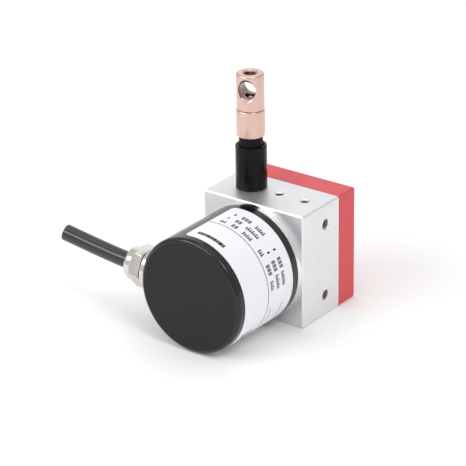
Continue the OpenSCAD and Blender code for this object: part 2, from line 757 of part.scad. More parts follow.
module code_disc() {
  color([0.62, 0.66, 0.70]) difference() {
    cyl_y(y_disc + 0.02, y_disc + disc_t, disc_r);
    cyl_y(y_disc - eps, y_disc + disc_t + eps, shaft_r + 0.7);
    // the pulse windows near the disc's edge
    for (a = [0 : 15 : 345])
      translate([0, y_disc - 1, axis_z]) rotate([0, a, 0])
        translate([sensor_ring - 0.9, 0, -0.25]) cube([1.8, disc_t + 2, 0.5]);
  }
}

module board_posts() {
  color([0.76, 0.64, 0.34]) for (p = ring_places(post_ring, post_angles)) difference() {
    union() {
      rod_y(p[0], p[1], y_board, y_step, post_r);
      rod_y(p[0], p[1], y_step, y_step + post_stud_l, post_stud_r);
    }
    rod_y(p[0], p[1], y_board - eps, y_board + 4, board_screw_r + thread_gap);
  }
}

module emitter_holder() {
  y0 = y_disc + disc_t + 0.6;
  color([0.16, 0.16, 0.17]) difference() {
    union() {
      rod_y(0, post_ring, y0, y0 + holder_t, post_r + 1.1);
      translate([-2.5, y0, axis_z + hub_r + 0.5]) cube([5, holder_t, post_ring - hub_r - 0.5]);
    }
    rod_y(0, post_ring, y0 - eps, y0 + holder_t + eps, post_r + seat_gap);
    rod_y(0, sensor_ring, y0 - eps, y0 + holder_t + eps, emitter_r + seat_gap);
  }
}

module emitter() {
  y0 = y_disc + disc_t + 0.4;
  color([0.75, 0.85, 0.95]) rod_y(0, sensor_ring, y0, y0 + emitter_l, emitter_r);
}

module sensor_head() {
  color([0.13, 0.14, 0.15]) difference() {
    translate([-sensor_w / 2, y_board, axis_z + sensor_ring - sensor_h / 2])
      cube([sensor_w, y_disc - 0.3 - y_board, sensor_h]);
    for (x = [-2, 0, 2])
      translate([x - 0.5, y_disc - 0.6, axis_z + sensor_ring - 1.2]) cube([1, 1, 2.4]);
  }
}

module circuit_board() {
  color([0.10, 0.36, 0.20]) difference() {
    cyl_y(y_board_front, y_board, board_r);
    translate([-2 * board_flat_x, y_board_front - eps, axis_z - board_r])
      cube([board_flat_x, board_t + 2 * eps, 2 * board_r]);
    for (p = ring_places(post_ring, post_angles))
      rod_y(p[0], p[1], y_board_front - eps, y_board + eps, board_screw_r + screw_gap);
    for (x = [-2, -1, 0, 1, 2], z = [-3.5, 3.5])
      rod_y(x, z, y_board_front - eps, y_board + eps, 0.3);
  }
}

module board_screws() {
  head_h = 1;
  color([0.60, 0.61, 0.63]) for (p = ring_places(post_ring, post_angles)) difference() {
    union() {
      rod_y(p[0], p[1], y_board_front, y_board + 3.5, board_screw_r);
      rod_y(p[0], p[1], y_board_front - head_h, y_board_front, 1.7);
    }
    translate([p[0] - 2, y_board_front - head_h - eps, axis_z + p[1] - 0.2]) cube([4, 0.5, 0.4]);
  }
}

// A part on the board's front side
module chip(x, z, w, h, t) {
  translate([x - w / 2, y_board_front - t, axis_z + z - h / 2]) cube([w, t, h]);
}

module board_chips() {
  color([0.12, 0.12, 0.13]) {
    chip(5, 5.5, 6, 5, 1.4);
    chip(6, -3, 5, 4, 1.1);
    for (i = [0 : chip_rows - 1]) chip(-4 + i * 2.6, -10.5, 1.6, 0.9, 0.5);
    for (i = [0 : 2]) chip(-6, 9 + i * 1.6, 1.6, 0.8, 0.5);
  }
}

module board_capacitors() {
  color([0.20, 0.22, 0.30]) for (p = ring_places(capacitor_ring, capacitor_angles))
    rod_y(p[0], p[1], y_board_front - capacitor_h, y_board_front, capacitor_r);
}

module cable_connector() {
  depth = y_board_front - gland_y + 3;
  color([0.92, 0.92, 0.90]) difference() {
    translate([connector_x, y_board_front - depth, axis_z - connector_h / 2])
      cube([connector_w, depth, connector_h]);
    for (a = [0 : 60 : 300])
      translate([connector_x - eps, gland_y + core_ring * cos(a), axis_z + core_ring * sin(a)])
        rotate([0, 90, 0]) cylinder(r = core_r + 0.05, h = 2);
  }
}

module cable_cores() {
  core_x0 = cable_start_x + 0.05;
  color([0.85, 0.75, 0.20]) for (a = [0 : 60 : 300])
    translate([core_x0, gland_y + core_ring * cos(a), axis_z + core_ring * sin(a)])
      rotate([0, 90, 0]) cylinder(r = core_r, h = connector_x + 1.55 - core_x0);
}

module gland_body() {
  rim = 0.3;
  color([0.83, 0.81, 0.76]) at_gland() rotate_extrude() polygon([
    [cable_bore_r + 0.3, pad_in - lock_nut_l], [gland_thread_r, pad_in - lock_nut_l],
    [gland_thread_r, gland_seat], [gland_flange_r, gland_seat],
    [gland_flange_r, gland_seat + gland_flange_t - rim],
    [gland_flange_r - rim, gland_seat + gland_flange_t],
    [gland_socket_r, gland_seat + gland_flange_t], [gland_socket_r, gland_thread_end - 3],
    [cable_bore_r + 1, gland_thread_end - 3],
    [cable_bore_r + 0.3, gland_thread_end - 4]
  ]);
}

module gland_seal() {
  color([0.10, 0.09, 0.08]) at_gland() rotate_extrude()
    polygon([[gland_socket_r + running_gap, gland_seat + gland_flange_t],
             [gland_flats / 2 - 0.9, gland_seat + gland_flange_t],
             [gland_flats / 2 - 0.9, gland_nut_z], [gland_socket_r + running_gap, gland_nut_z]]);
}

module gland_insert() {
  color([0.14, 0.14, 0.15]) at_gland() rotate_extrude()
    polygon([[cable_bore_r, gland_thread_end - 2.9], [cable_bore_r + insert_t, gland_thread_end - 2.9],
             [cable_bore_r + insert_t, gland_mouth - 1.6], [cable_bore_r, gland_mouth - 1.6]]);
}

module gland_nut() {
  hex_top = gland_nut_z + gland_hex_l;
  corner = gland_hex_r;
  flat = gland_flats / 2;
  color([0.83, 0.81, 0.76]) at_gland() difference() {
    union() {
      intersection() {
        translate([0, 0, gland_nut_z]) rotate([0, 0, gland_hex_turn])
          cylinder(r = gland_hex_r, h = gland_hex_l, $fn = 6);
        rotate_extrude() polygon([
          [0, gland_nut_z], [flat + 0.2, gland_nut_z], [corner + 0.1, gland_nut_z + 0.5],
          [corner + 0.1, hex_top - 0.9], [flat - 0.1, hex_top], [0, hex_top]
        ]);
      }
      rotate_extrude() polygon(concat(
        [[0, hex_top - 0.5], [collar_r, hex_top - 0.5]],
        arc(collar_r - 1.2, gland_mouth - 1.2, 1.2, 0, 90, 6),
        [[0, gland_mouth]]
      ));
    }
    translate([0, 0, gland_nut_z - eps])
      cylinder(r = gland_socket_r + running_gap, h = gland_thread_end - 3 - gland_nut_z + 0.1);
    translate([0, 0, gland_nut_z - eps])
      cylinder(r = cable_bore_r + insert_t + running_gap, h = gland_mouth - 1.55 - gland_nut_z);
    translate([0, 0, gland_nut_z]) cylinder(r = cable_bore_r + 0.1, h = gland_mouth - gland_nut_z + 1);
  }
}

module gland_lock_nut() {
  color([0.83, 0.81, 0.76]) at_gland() difference() {
    translate([0, 0, pad_in - lock_nut_l]) rotate([0, 0, gland_hex_turn])
      cylinder(r = gland_thread_r + lock_nut_l, h = lock_nut_l, $fn = 6);
    translate([0, 0, pad_in - lock_nut_l - 1]) cylinder(r = gland_thread_r + seat_gap, h = lock_nut_l + 2);
  }
}

// A tube of straight stretches through points that lie in one level
module level_tube(points, r, sides) {
  last = len(points) - 1;
  function heading(i) =
    let (a = points[max(i - 1, 0)], b = points[min(i + 1, last)], d = b - a) d / norm(d);
  rings = [for (i = [0 : last]) let (d = heading(i), side = [-d[1], d[0], 0])
    for (k = [0 : sides - 1]) let (a = 360 * k / sides)
      points[i] + r * (cos(a) * side + [0, 0, sin(a)])];
  walls = [for (i = [0 : last - 1], k = [0 : sides - 1]) let (n = (k + 1) % sides)
    [i * sides + k, i * sides + n, (i + 1) * sides + n, (i + 1) * sides + k]];
  start = [[for (k = [sides - 1 : -1 : 0]) k]];
  end = [[for (k = [0 : sides - 1]) last * sides + k]];
  polyhedron(points = rings, faces = concat(walls, start, end));
}

module signal_cable() {
  color([0.07, 0.07, 0.08]) translate([0, gland_y, axis_z]) rotate([cable_bend_way, 0, 0])
    level_tube(cable_points, cable_r, cable_sides);
}

drum_housing();
rear_cover();
cover_gasket();
cover_screws();
bearing_plate();
plate_screws();
power_spring();
spring_anchor();
wire_drum();
wound_wire();
drum_shaft();
spring_arbor();
drum_set_screws();
bearing_outer_rings();
bearing_inner_rings();
bearing_balls();
shaft_circlips();
wire_nozzle();
wire_guide();
draw_wire();
wire_ferrule();
rubber_stopper();
wire_sleeve();
wire_eye();
encoder_flange();
flange_screws();
cover_seal();
encoder_cover();
encoder_label();
encoder_shaft();
disc_hub();
code_disc();
board_posts();
emitter_holder();
emitter();
sensor_head();
circuit_board();
board_screws();
board_chips();
board_capacitors();
cable_connector();
gland_body();
gland_seal();
gland_insert();
gland_nut();
gland_lock_nut();
signal_cable();
cable_cores();
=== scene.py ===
import math

import bpy
from mathutils import Matrix, Vector


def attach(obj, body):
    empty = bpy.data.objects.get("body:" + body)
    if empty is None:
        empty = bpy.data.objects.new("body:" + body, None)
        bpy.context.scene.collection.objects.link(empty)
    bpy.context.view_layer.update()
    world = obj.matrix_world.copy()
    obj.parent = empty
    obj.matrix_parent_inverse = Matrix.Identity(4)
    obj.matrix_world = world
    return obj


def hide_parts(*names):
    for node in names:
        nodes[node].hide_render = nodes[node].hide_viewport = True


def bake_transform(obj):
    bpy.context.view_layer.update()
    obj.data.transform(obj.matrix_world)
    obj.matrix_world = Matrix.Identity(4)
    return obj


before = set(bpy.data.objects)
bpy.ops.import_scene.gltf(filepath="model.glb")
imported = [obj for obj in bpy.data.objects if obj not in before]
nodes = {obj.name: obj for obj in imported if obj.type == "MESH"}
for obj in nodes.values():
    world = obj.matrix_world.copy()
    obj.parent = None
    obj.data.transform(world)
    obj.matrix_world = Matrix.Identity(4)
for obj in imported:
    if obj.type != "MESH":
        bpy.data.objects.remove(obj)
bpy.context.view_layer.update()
mm = 0.001
fullTurn = 2 * math.pi
mergeWithin, cutMergeWithin = 0.0004 * mm, 0.002 * mm

bpy.ops.object.select_all(action="DESELECT")
bpy.context.view_layer.objects.active = None


# camera, in the same frame as the part
cameraView = {"place": (0.389733, -0.534314, 0.328854), "around": 37.1767, "down": 24.6679,
              "roll": -1.0184, "lens": 174.205}


def placeCamera():
    around, down, roll = (math.radians(cameraView[k]) for k in ("around", "down", "roll"))
    back = Vector((math.sin(around) * math.cos(down), -math.cos(around) * math.cos(down), math.sin(down)))
    level = Vector((math.cos(around), math.sin(around), 0))
    steep = back.cross(level)
    right = math.cos(roll) * level + math.sin(roll) * steep
    up = math.cos(roll) * steep - math.sin(roll) * level
    bpy.ops.object.camera_add()
    camera = bpy.context.object
    camera.name = "camera"
    camera.data.lens = cameraView["lens"]
    camera.data.sensor_width = 36
    camera.data.clip_start = 0.01
    camera.matrix_world = Matrix([[right[i], up[i], back[i], cameraView["place"][i]] for i in range(3)]
                                 + [[0, 0, 0, 1]])
    bpy.context.scene.camera = camera


placeCamera()
print("camera placed")


# hand tools: picking, turning on a lathe, cutting, softening edges
def choose(piece):
    if bpy.context.object and bpy.context.object.mode == "EDIT":
        bpy.ops.object.mode_set(mode="OBJECT")
    bpy.ops.object.select_all(action="DESELECT")
    piece.select_set(True)
    bpy.context.view_layer.objects.active = piece


def pick(piece, kind, wanted):  # leaves the piece in edit mode with what is wanted selected
    choose(piece)
    bpy.ops.object.mode_set(mode="EDIT")
    bpy.ops.mesh.select_mode(type=kind)
    bpy.ops.mesh.select_all(action="DESELECT")
    bpy.ops.object.mode_set(mode="OBJECT")
    mesh = piece.data
    for item in {"VERT": mesh.vertices, "FACE": mesh.polygons}[kind]:
        item.select = wanted(item)
    bpy.ops.object.mode_set(mode="EDIT")


def settle(piece):  # place, turn and size go into the mesh
    choose(piece)
    bpy.ops.object.transform_apply(location=True, rotation=True, scale=True)


def applyModifier(piece, name):
    choose(piece)
    bpy.ops.object.modifier_apply(modifier=name)


def rounded(points, radius, steps=4):  # a closed outline, each corner rounded within half of its sides
    soft = []
    for i, corner in enumerate(points):
        corner, before, after = Vector(corner), Vector(points[i - 1]), Vector(points[(i + 1) % len(points)])
        reach = min(radius, (before - corner).length / 2.05, (after - corner).length / 2.05)
        start = corner + (before - corner).normalized() * reach
        end = corner + (after - corner).normalized() * reach
        for k in range(steps + 1):
            t = k / steps
            soft.append(tuple(start * (1 - t) ** 2 + corner * 2 * t * (1 - t) + end * t ** 2))
    return soft


def quarter(radius, height, size, start, steps=8):  # a quarter round in an outline, from -90 up or 0 up
    across, level = radius - size, height + (size if start < 0 else -size)
    angles = [math.radians(start + 90 * k / steps) for k in range(steps + 1)]
    return [(across + size * math.cos(a), level + size * math.sin(a)) for a in angles]


def lathe(name, outline, centre, axis, steps=96):  # outline: radius and height in mm
    axis = Vector(axis)
    side = axis.orthogonal().normalized()
    points = [Vector(centre) + side * r * mm + axis * h * mm for r, h in outline]
    bpy.ops.mesh.primitive_plane_add(size=mm, location=points[0])
    piece = bpy.context.object
    piece.name = name
    settle(piece)
    bpy.ops.object.mode_set(mode="EDIT")
    bpy.ops.mesh.select_all(action="SELECT")
    bpy.ops.mesh.merge(type="CENTER")
    hollow = outline[0][0] > 0 or outline[-1][0] > 0
    for here, there in zip(points, points[1:] + (points[:1] if hollow else [])):
        bpy.ops.mesh.extrude_vertices_move(TRANSFORM_OT_translate={"value": there - here})
    bpy.ops.mesh.select_all(action="SELECT")
    bpy.ops.mesh.remove_doubles(threshold=mergeWithin)
    bpy.ops.mesh.spin(steps=steps, angle=fullTurn, center=Vector(centre), axis=axis)
    bpy.ops.mesh.select_all(action="SELECT")
    bpy.ops.mesh.remove_doubles(threshold=mergeWithin)
    bpy.ops.mesh.normals_make_consistent(inside=False)
    bpy.ops.object.mode_set(mode="OBJECT")
    smooth(piece, 35)
    return piece


def smooth(piece, angle):  # faces that meet at less than this many degrees shade as one
    choose(piece)
    bpy.ops.object.shade_smooth_by_angle(angle=math.radians(angle))


def rod(name, start, end, radius, sides=48):  # a cylinder to cut or add with
    start, end = Vector(start), Vector(end)
    along = end - start
    bpy.ops.mesh.primitive_cylinder_add(vertices=sides, radius=radius, depth=along.length,
                                        location=(start + end) / 2,
                                        rotation=along.to_track_quat("Z", "Y").to_euler())
    piece = bpy.context.object
    piece.name = name
    settle(piece)
    return piece


def cone(name, start, end, startRadius, endRadius, sides):
    start, end = Vector(start), Vector(end)
    along = end - start
    bpy.ops.mesh.primitive_cone_add(vertices=sides, radius1=startRadius, radius2=endRadius,
                                    depth=along.length, location=(start + end) / 2,
                                    rotation=along.to_track_quat("Z", "Y").to_euler())
    piece = bpy.context.object
    piece.name = name
    settle(piece)
    return piece


def combine(piece, other, operation="DIFFERENCE"):
    cut = piece.modifiers.new("cut", "BOOLEAN")
    cut.operation, cut.solver, cut.object = operation, "EXACT", other
    applyModifier(piece, "cut")
    bpy.data.objects.remove(other)
    choose(piece)
    bpy.ops.object.mode_set(mode="EDIT")
    bpy.ops.mesh.select_all(action="SELECT")
    bpy.ops.mesh.remove_doubles(threshold=cutMergeWithin)
    bpy.ops.mesh.normals_make_consistent(inside=False)
    bpy.ops.object.mode_set(mode="OBJECT")


def softenEdges(piece, width, angle):
    soft = piece.modifiers.new("soft", "BEVEL")
    soft.width, soft.segments, soft.limit_method = width, 2, "ANGLE"
    soft.angle_limit = math.radians(angle)
    applyModifier(piece, "soft")


def joined(name, parts):
    choose(parts[0])
    for part in parts:
        part.select_set(True)
    bpy.ops.object.join()
    parts[0].name = name
    return parts[0]


# the signal cable, which ends cut off
cable = {"width": 5.5, "jacket": 0.85, "axis": (-33.7, 19.5), "exit": (-30.7, -33.7, 19.5), "bendWay": 120,
         "path": [(-13, 0), (-17, 0), (-21, 0), (-25, 0), (-29, 0), (-31, 0.1), (-33, 0.3), (-35, 0.6),
                  (-37, 1), (-39, 1.4), (-42, 2.1), (-45, 2.8), (-48, 3.6), (-51, 4.4), (-53.5, 5.1),
                  (-55.7, 5.7)],
         "hidden": 9, "recess": 0.35, "wrapGap": 0.02, "wrapWall": 0.14,
         "coreWidth": 1.05, "coreRing": 1.12, "coreBore": 0.6, "coreEnds": (0.05, 0.2, 0.12),
         "strandWidth": 0.19, "strandLength": 3, "strandEnds": (0.12, 0.15, 0.18),
         "cores": ["brown", "grey", "red", "green", "yellow", "black"]}


def tube(name, points, radius):  # 32 sides
    line = bpy.data.curves.new(name, "CURVE")
    line.dimensions = "3D"
    line.bevel_depth = radius
    line.bevel_resolution = 7
    spline = line.splines.new("POLY")
    spline.points.add(len(points) - 1)
    for point, place in zip(spline.points, points):
        point.co = (*place, 1)
    piece = bpy.data.objects.new(name, line)
    bpy.context.scene.collection.objects.link(piece)
    choose(piece)
    bpy.ops.object.convert(target="MESH")
    return bpy.context.object


def makeCable():
    c = cable
    turn, (y, z) = math.radians(c["bendWay"]), c["axis"]
    points = [Vector((x, y + away * math.cos(turn), z + away * math.sin(turn))) * mm
              for x, away in c["path"]]
    length = sum((b - a).length for a, b in zip(points, points[1:]))
    end = points[-1]
    outward = (end - points[-2]).normalized()
    jacket = tube("cableJacket", points, c["width"] / 2 * mm)
    wall = jacket.modifiers.new("wall", "SOLIDIFY")
    wall.thickness, wall.offset, wall.use_rim = c["jacket"] * mm, -1, True
    applyModifier(jacket, "wall")
    smooth(jacket, 40)
    outer = c["width"] / 2 - c["jacket"] - c["wrapGap"]
    inner = outer - c["wrapWall"]
    others = [lathe("coreWrap", [(inner, -c["hidden"]), (outer, -c["hidden"]), (outer, -c["recess"]),
                                 (inner, -c["recess"])], end, outward, steps=32)]
    side = outward.orthogonal().normalized()
    for i, colour in enumerate(c["cores"]):
        place = end + Matrix.Rotation(fullTurn * i / 6, 3, outward) @ side * c["coreRing"] * mm
        flush = c["coreEnds"][i % 3] - c["recess"]
        bore, radius = c["coreBore"] / 2, c["coreWidth"] / 2
        profile = [(bore, -c["hidden"]), (radius, -c["hidden"]), (radius, flush), (bore, flush)]
        others.append(lathe("core-" + colour, rounded(profile, 0.06), place, outward, steps=20))
        copper = []
        for k in range(7):  # a bundle of fine copper strands, proud of the insulation
            away = c["strandWidth"] if k else 0
            spot = place + Matrix.Rotation(fullTurn * k / 6, 3, outward) @ side * away * mm
            low, tip, thin = flush - c["strandLength"], flush + c["strandEnds"][k % 3], c["strandWidth"] / 2
            profile = [(0, low), (thin, low), (thin, tip), (0, tip)]
            copper.append(lathe("strand", rounded(profile, 0.03, 2), spot, outward, steps=10))
        others.append(joined("copper-" + colour, copper))
    return jacket, points, length, others


cableJacket, cablePoints, cableLength, cableInside = makeCable()
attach(cableJacket, "housing")
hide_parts("signal_cable")
for piece in cableInside:
    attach(piece, "housing")
print("cable made,", round(cableLength * 1000, 1), "mm long")


# places that the pieces share, in mm
drumAxis = Vector((0, 0, 19.5)) * mm
wireLine = Vector((-8.45, 1.115, 0)) * mm
glandAxis = Vector((0, -33.7, 19.5)) * mm
yWay, zWay, glandWay = (0, 1, 0), (0, 0, 1), (-1, 0, 0)


# encoder cover: a deep drawn cup with a round pad for the gland
coverCup = {"radius": 19.3, "wall": 1.3, "front": -43.5, "back": -12.1, "rim": 1.5,
            "padRadius": 6.6, "padEnd": 20.2, "padStart": 17, "padEdge": 0.25, "hole": 4.02,
            "holeEnds": (12, 24), "lip": 0.15, "flatEdge": 1.2, "inside": 0.6, "flatWithin": 0.01}


def makeCoverCup():
    c = coverCup
    r, front, back, floor = c["radius"], c["front"], c["back"], c["front"] + c["wall"]
    bore = r - c["wall"]
    outline = [(0, front), (r - c["rim"] - c["flatEdge"], front)]
    outline += quarter(r, front, c["rim"], -90, 16)
    outline += [(r, back - c["lip"]), (r - c["lip"], back), (bore, back), (bore, floor + c["inside"]),
                (bore - c["inside"], floor), (0, floor)]
    cup = lathe("encoderCup", outline, drumAxis, yWay, steps=160)
    outline = [(0, c["padStart"]), (c["padRadius"], c["padStart"]),
               (c["padRadius"], c["padEnd"] - c["padEdge"]), (c["padRadius"] - c["padEdge"], c["padEnd"]),
               (0, c["padEnd"])]
    combine(cup, lathe("pad", outline, glandAxis, glandWay, steps=64), "UNION")
    start, end = (glandAxis + Vector(glandWay) * reach * mm for reach in c["holeEnds"])
    combine(cup, rod("hole", start, end, c["hole"] * mm))
    smooth(cup, 30)
    return cup


def dressCup(cup, enamel, matt):  # the flat front disc is matt, the drawn sides and the rim are glossy
    dress(cup, enamel, matt)
    flatAt = (coverCup["front"] + coverCup["flatWithin"]) * mm
    pick(cup, "FACE", lambda f: f.center.y < flatAt and f.normal.y < -0.99)
    cup.active_material_index = 1
    bpy.ops.object.material_slot_assign()
    bpy.ops.object.mode_set(mode="OBJECT")


encoderCup = makeCoverCup()
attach(encoderCup, "housing")
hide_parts("encoder_cover")
print("encoder cover made")


# label: one sheet with rounded corners, printed with plain bars, wrapped on the cover
label = {"radius": 19.42, "wrap": 202, "front": -40.4, "back": -15.3, "corner": 1.6, "thick": 0.1,
         "printHeight": 0.014, "printThick": 0.012, "step": 0.6, "divider": (-28.3, 0.26),
         "rows": (-20.0, -23.0, -26.0), "rowHeight": 1.7, "dot": 0.7, "rule": 0.14, "blockWidth": 0.88,
         "blockStep": 1.22, "blockFits": 0.84, "blockStrokes": (0.34, 0.3), "blockSecond": 0.54,
         "letterWidth": 0.4, "letterFoot": (0.24, 0.5), "letterStep": 0.78, "letterFits": 0.49,
         "letterTall": (1, 0.45, 0.6, 0.9), "headWidths": (1.5, 0.9, 1.2, 0.7), "headTall": 1.5,
         "headGap": 0.14, "dividerInset": 0.5, "acrossLift": 0.003}
labelMarks = [  # start and end along the wrap, row, kind: 0 dot, 1 dense blocks, 2 small marks, 3 rule
    (4.2, 4.9, 0, 0), (3.9, 4.4, 1, 0), (3.3, 5.4, 2, 2), (7.3, 10.6, 0, 1), (7.0, 10.2, 1, 1),
    (7.7, 10.8, 2, 1), (12.8, 16.5, 0, 2), (11.2, 16.5, 1, 2), (12.2, 16.5, 2, 2),
    (21.7, 22.3, 0, 0), (21.6, 22.2, 1, 0), (19.8, 22.3, 2, 2), (24.7, 28.0, 0, 1), (24.8, 28.1, 1, 1),
    (25.1, 28.4, 2, 1), (29.3, 34.0, 0, 2), (29.4, 34.0, 1, 2), (30.5, 34.0, 2, 2),
    (40.3, 47.8, 0, 3), (40.4, 45.6, 2, 3), (51.0, 56.0, 0, 2), (51.2, 55.2, 1, 2), (51.0, 56.2, 2, 2)]
labelHeads = [(2.9, 13.3, -37.1, 1.5), (46.0, 62.0, -37.0, 1.1), (46.0, 58.0, -34.8, 1.1),
              (46.0, 60.0, -32.6, 1.1)]


def flatBar(start, end, low, high, lift):
    length = label["radius"] * math.radians(label["wrap"])
    bpy.ops.mesh.primitive_plane_add(size=mm, rotation=(math.pi / 2, 0, 0), location=(
        ((start + end) / 2 - length / 2) * mm, -lift * mm, (low + high) / 2 * mm))
    bar = bpy.context.object
    bar.scale = (end - start, high - low, 1)
    settle(bar)
    return bar


def wrapFlat(piece):  # cut across every small step, bend to the wrap, and lay on the cover's side
    length = label["radius"] * math.radians(label["wrap"]) * mm
    bpy.ops.object.mode_set(mode="EDIT")
    count = int(length / (label["step"] * mm))
    for i in range(1, count):
        bpy.ops.mesh.select_all(action="SELECT")
        bpy.ops.mesh.bisect(plane_co=(length * (i / count - 0.5), 0, 0), plane_no=(1, 0, 0))
    bpy.ops.object.mode_set(mode="OBJECT")
    radius = label["radius"] * mm
    for vertex in piece.data.vertices:
        angle = math.radians(label["wrap"]) / 2 - (vertex.co.x / length + 0.5) * math.radians(label["wrap"])
        reach = radius - vertex.co.y
        vertex.co = (reach * math.cos(angle), vertex.co.z, drumAxis.z + reach * math.sin(angle))


def makeLabel():
    length = label["radius"] * math.radians(label["wrap"])
    sheet = flatBar(0, length, label["front"], label["back"], 0)
    sheet.name = "labelSheet"
    pick(sheet, "VERT", lambda v: True)
    bpy.ops.mesh.bevel(offset=label["corner"] * mm, segments=6, affect="VERTICES")
    bpy.ops.object.mode_set(mode="OBJECT")
    choose(sheet)
    wrapFlat(sheet)
    film = sheet.modifiers.new("film", "SOLIDIFY")
    film.thickness, film.offset = label["thick"] * mm, -1
    applyModifier(sheet, "film")
    smooth(sheet, 40)
    half = label["rowHeight"] / 2
    lift, (middle, thick) = label["printHeight"], label["divider"]
    upright, across = label["blockStrokes"]
    footWide, footTall = label["letterFoot"]
    inset = label["dividerInset"]
    bars = [flatBar(inset, length - inset, middle - thick / 2, middle + thick / 2, lift)]
    for start, end, row, kind in labelMarks:
        at, low = start, label["rows"][row] - half
        middle = low + half
        if kind in (0, 3):
            tall = half * label["dot" if kind == 0 else "rule"]
            bars.append(flatBar(start, end, middle - tall, middle + tall, lift))
        while kind == 1 and at + label["blockFits"] <= end:
            bars += [flatBar(at + x, at + x + upright, low, low + 2 * half, lift)
                     for x in (0, label["blockSecond"])]
            bars += [flatBar(at, at + label["blockWidth"], z, z + across, lift + label["acrossLift"])
                     for z in (low, middle - across / 2, middle + half - across)]
            at += label["blockStep"]
        while kind == 2 and at + label["letterFits"] <= end:
            wide, tall = label["letterWidth"], half * label["letterTall"][len(bars) % 4]
            bars.append(flatBar(at, at + wide, low, middle + tall, lift))
            bars.append(flatBar(at + wide, at + wide + footWide, low, low + footTall, lift))
            at += label["letterStep"]
    for start, end, middle, height in labelHeads:
        at = start
        while at < end:
            wide = min(label["headWidths"][len(bars) % 4] * height / label["headTall"], end - at)
            bars.append(flatBar(at, at + wide, middle - height / 2, middle + height / 2, lift))
            at += wide + label["headGap"]
    marks = joined("labelPrint", bars)
    wrapFlat(marks)
    film = marks.modifiers.new("film", "SOLIDIFY")
    film.thickness, film.offset = label["printThick"] * mm, -1
    applyModifier(marks, "film")
    return sheet, marks


labelSheet, labelPrint = makeLabel()
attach(labelSheet, "housing")
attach(labelPrint, "housing")
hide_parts("encoder_label")
print("label made")


# wire outlet: nozzle, stopper, sleeve and eye, all turned on the wire's line
nozzle = {"radius": 5.1, "top": 53.7, "foot": 39.0, "threadRadius": 4, "threadEnd": 33, "rim": 0.45,
          "recess": 4.0, "recessFloor": 51.5, "recessEdge": 0.22, "guideRadius": 2.52, "guideEnd": 43.5,
          "bore": 0.8, "edge": 0.15}
stopper = {"radius": 3.85, "low": 51.6, "high": 56.8, "neck": 2.0, "neckTop": 58.7, "bore": 0.22,
           "foot": ((0.4, 0), (0.1, 0.12), (0, 0.4)), "crown": ((0, 0.75), (0.12, 0.3), (0.5, 0))}
sleeve = {"radius": 4.6, "low": 56.8, "high": 65.94, "foot": 0.55, "crown": 0.5, "neck": 2.02,
          "neckTop": 58.75, "socket": 3.05, "socketEdge": 0.15, "floor": 60.4, "bore": 0.5}
# wallWithin, deepWithin, mouthWithin and shade say where the eye's bores and mouth get painted shade
eye = {"radius": 4.45, "low": 66.0, "high": 78.05, "foot": 0.3, "crown": 0.6, "spigot": 3.0,
       "spigotEnd": 60.6, "thread": 2.1, "threadEdge": 0.5, "wireBore": 0.5, "ballBore": 1.75,
       "ballFloor": 66.65, "cross": 3.0, "crossLevel": 73.1, "turned": 18, "sink": 0.85, "sinkWider": 1.5,
       "spigotEdge": 0.3, "soft": 0.08, "coil": (75.6, 0.5, 4, 0.22),  # coil: foot, pitch, turns, depth
       "crossReach": 8, "wallWithin": 0.06, "deepWithin": 2.25, "mouthWithin": 4.4, "shade": (0.8, 0.6)}
eyeTurn = math.radians(eye["turned"])
crossWay = Vector((math.sin(eyeTurn), -math.cos(eyeTurn), 0))


def makeNozzle():
    n = nozzle
    outline = [(n["bore"], n["threadEnd"]), (n["threadRadius"], n["threadEnd"]),
               (n["threadRadius"], n["foot"]), (n["radius"] - n["edge"], n["foot"]),
               (n["radius"], n["foot"] + n["edge"])]
    outline += quarter(n["radius"], n["top"], n["rim"], 0)
    outline += [(n["recess"] + n["recessEdge"], n["top"]), (n["recess"], n["top"] - n["recessEdge"]),
                (n["recess"], n["recessFloor"]), (n["guideRadius"], n["recessFloor"]),
                (n["guideRadius"], n["guideEnd"]), (n["bore"], n["guideEnd"])]
    return lathe("outletNozzle", outline, wireLine, zWay)


def makeStopper():
    s = stopper
    outline = [(s["bore"], s["low"])]
    outline += [(s["radius"] - inward, s["low"] + up) for inward, up in s["foot"]]
    outline += [(s["radius"] - inward, s["high"] - down) for inward, down in s["crown"]]
    outline += [(s["neck"], s["high"]), (s["neck"], s["neckTop"]), (s["bore"], s["neckTop"])]
    return lathe("rubberStop", outline, wireLine, zWay, steps=72)


def makeSleeve():
    s = sleeve
    edge = quarter(s["radius"], s["low"], s["foot"], -90) + quarter(s["radius"], s["high"], s["crown"], 0)
    outline = [(s["neck"], s["low"])] + edge + [
        (s["socket"] + s["socketEdge"], s["high"]), (s["socket"], s["high"] - s["socketEdge"]),
        (s["socket"], s["floor"]), (s["bore"], s["floor"]), (s["bore"], s["neckTop"]),
        (s["neck"], s["neckTop"])]
    return lathe("lowerSleeve", outline, wireLine, zWay)


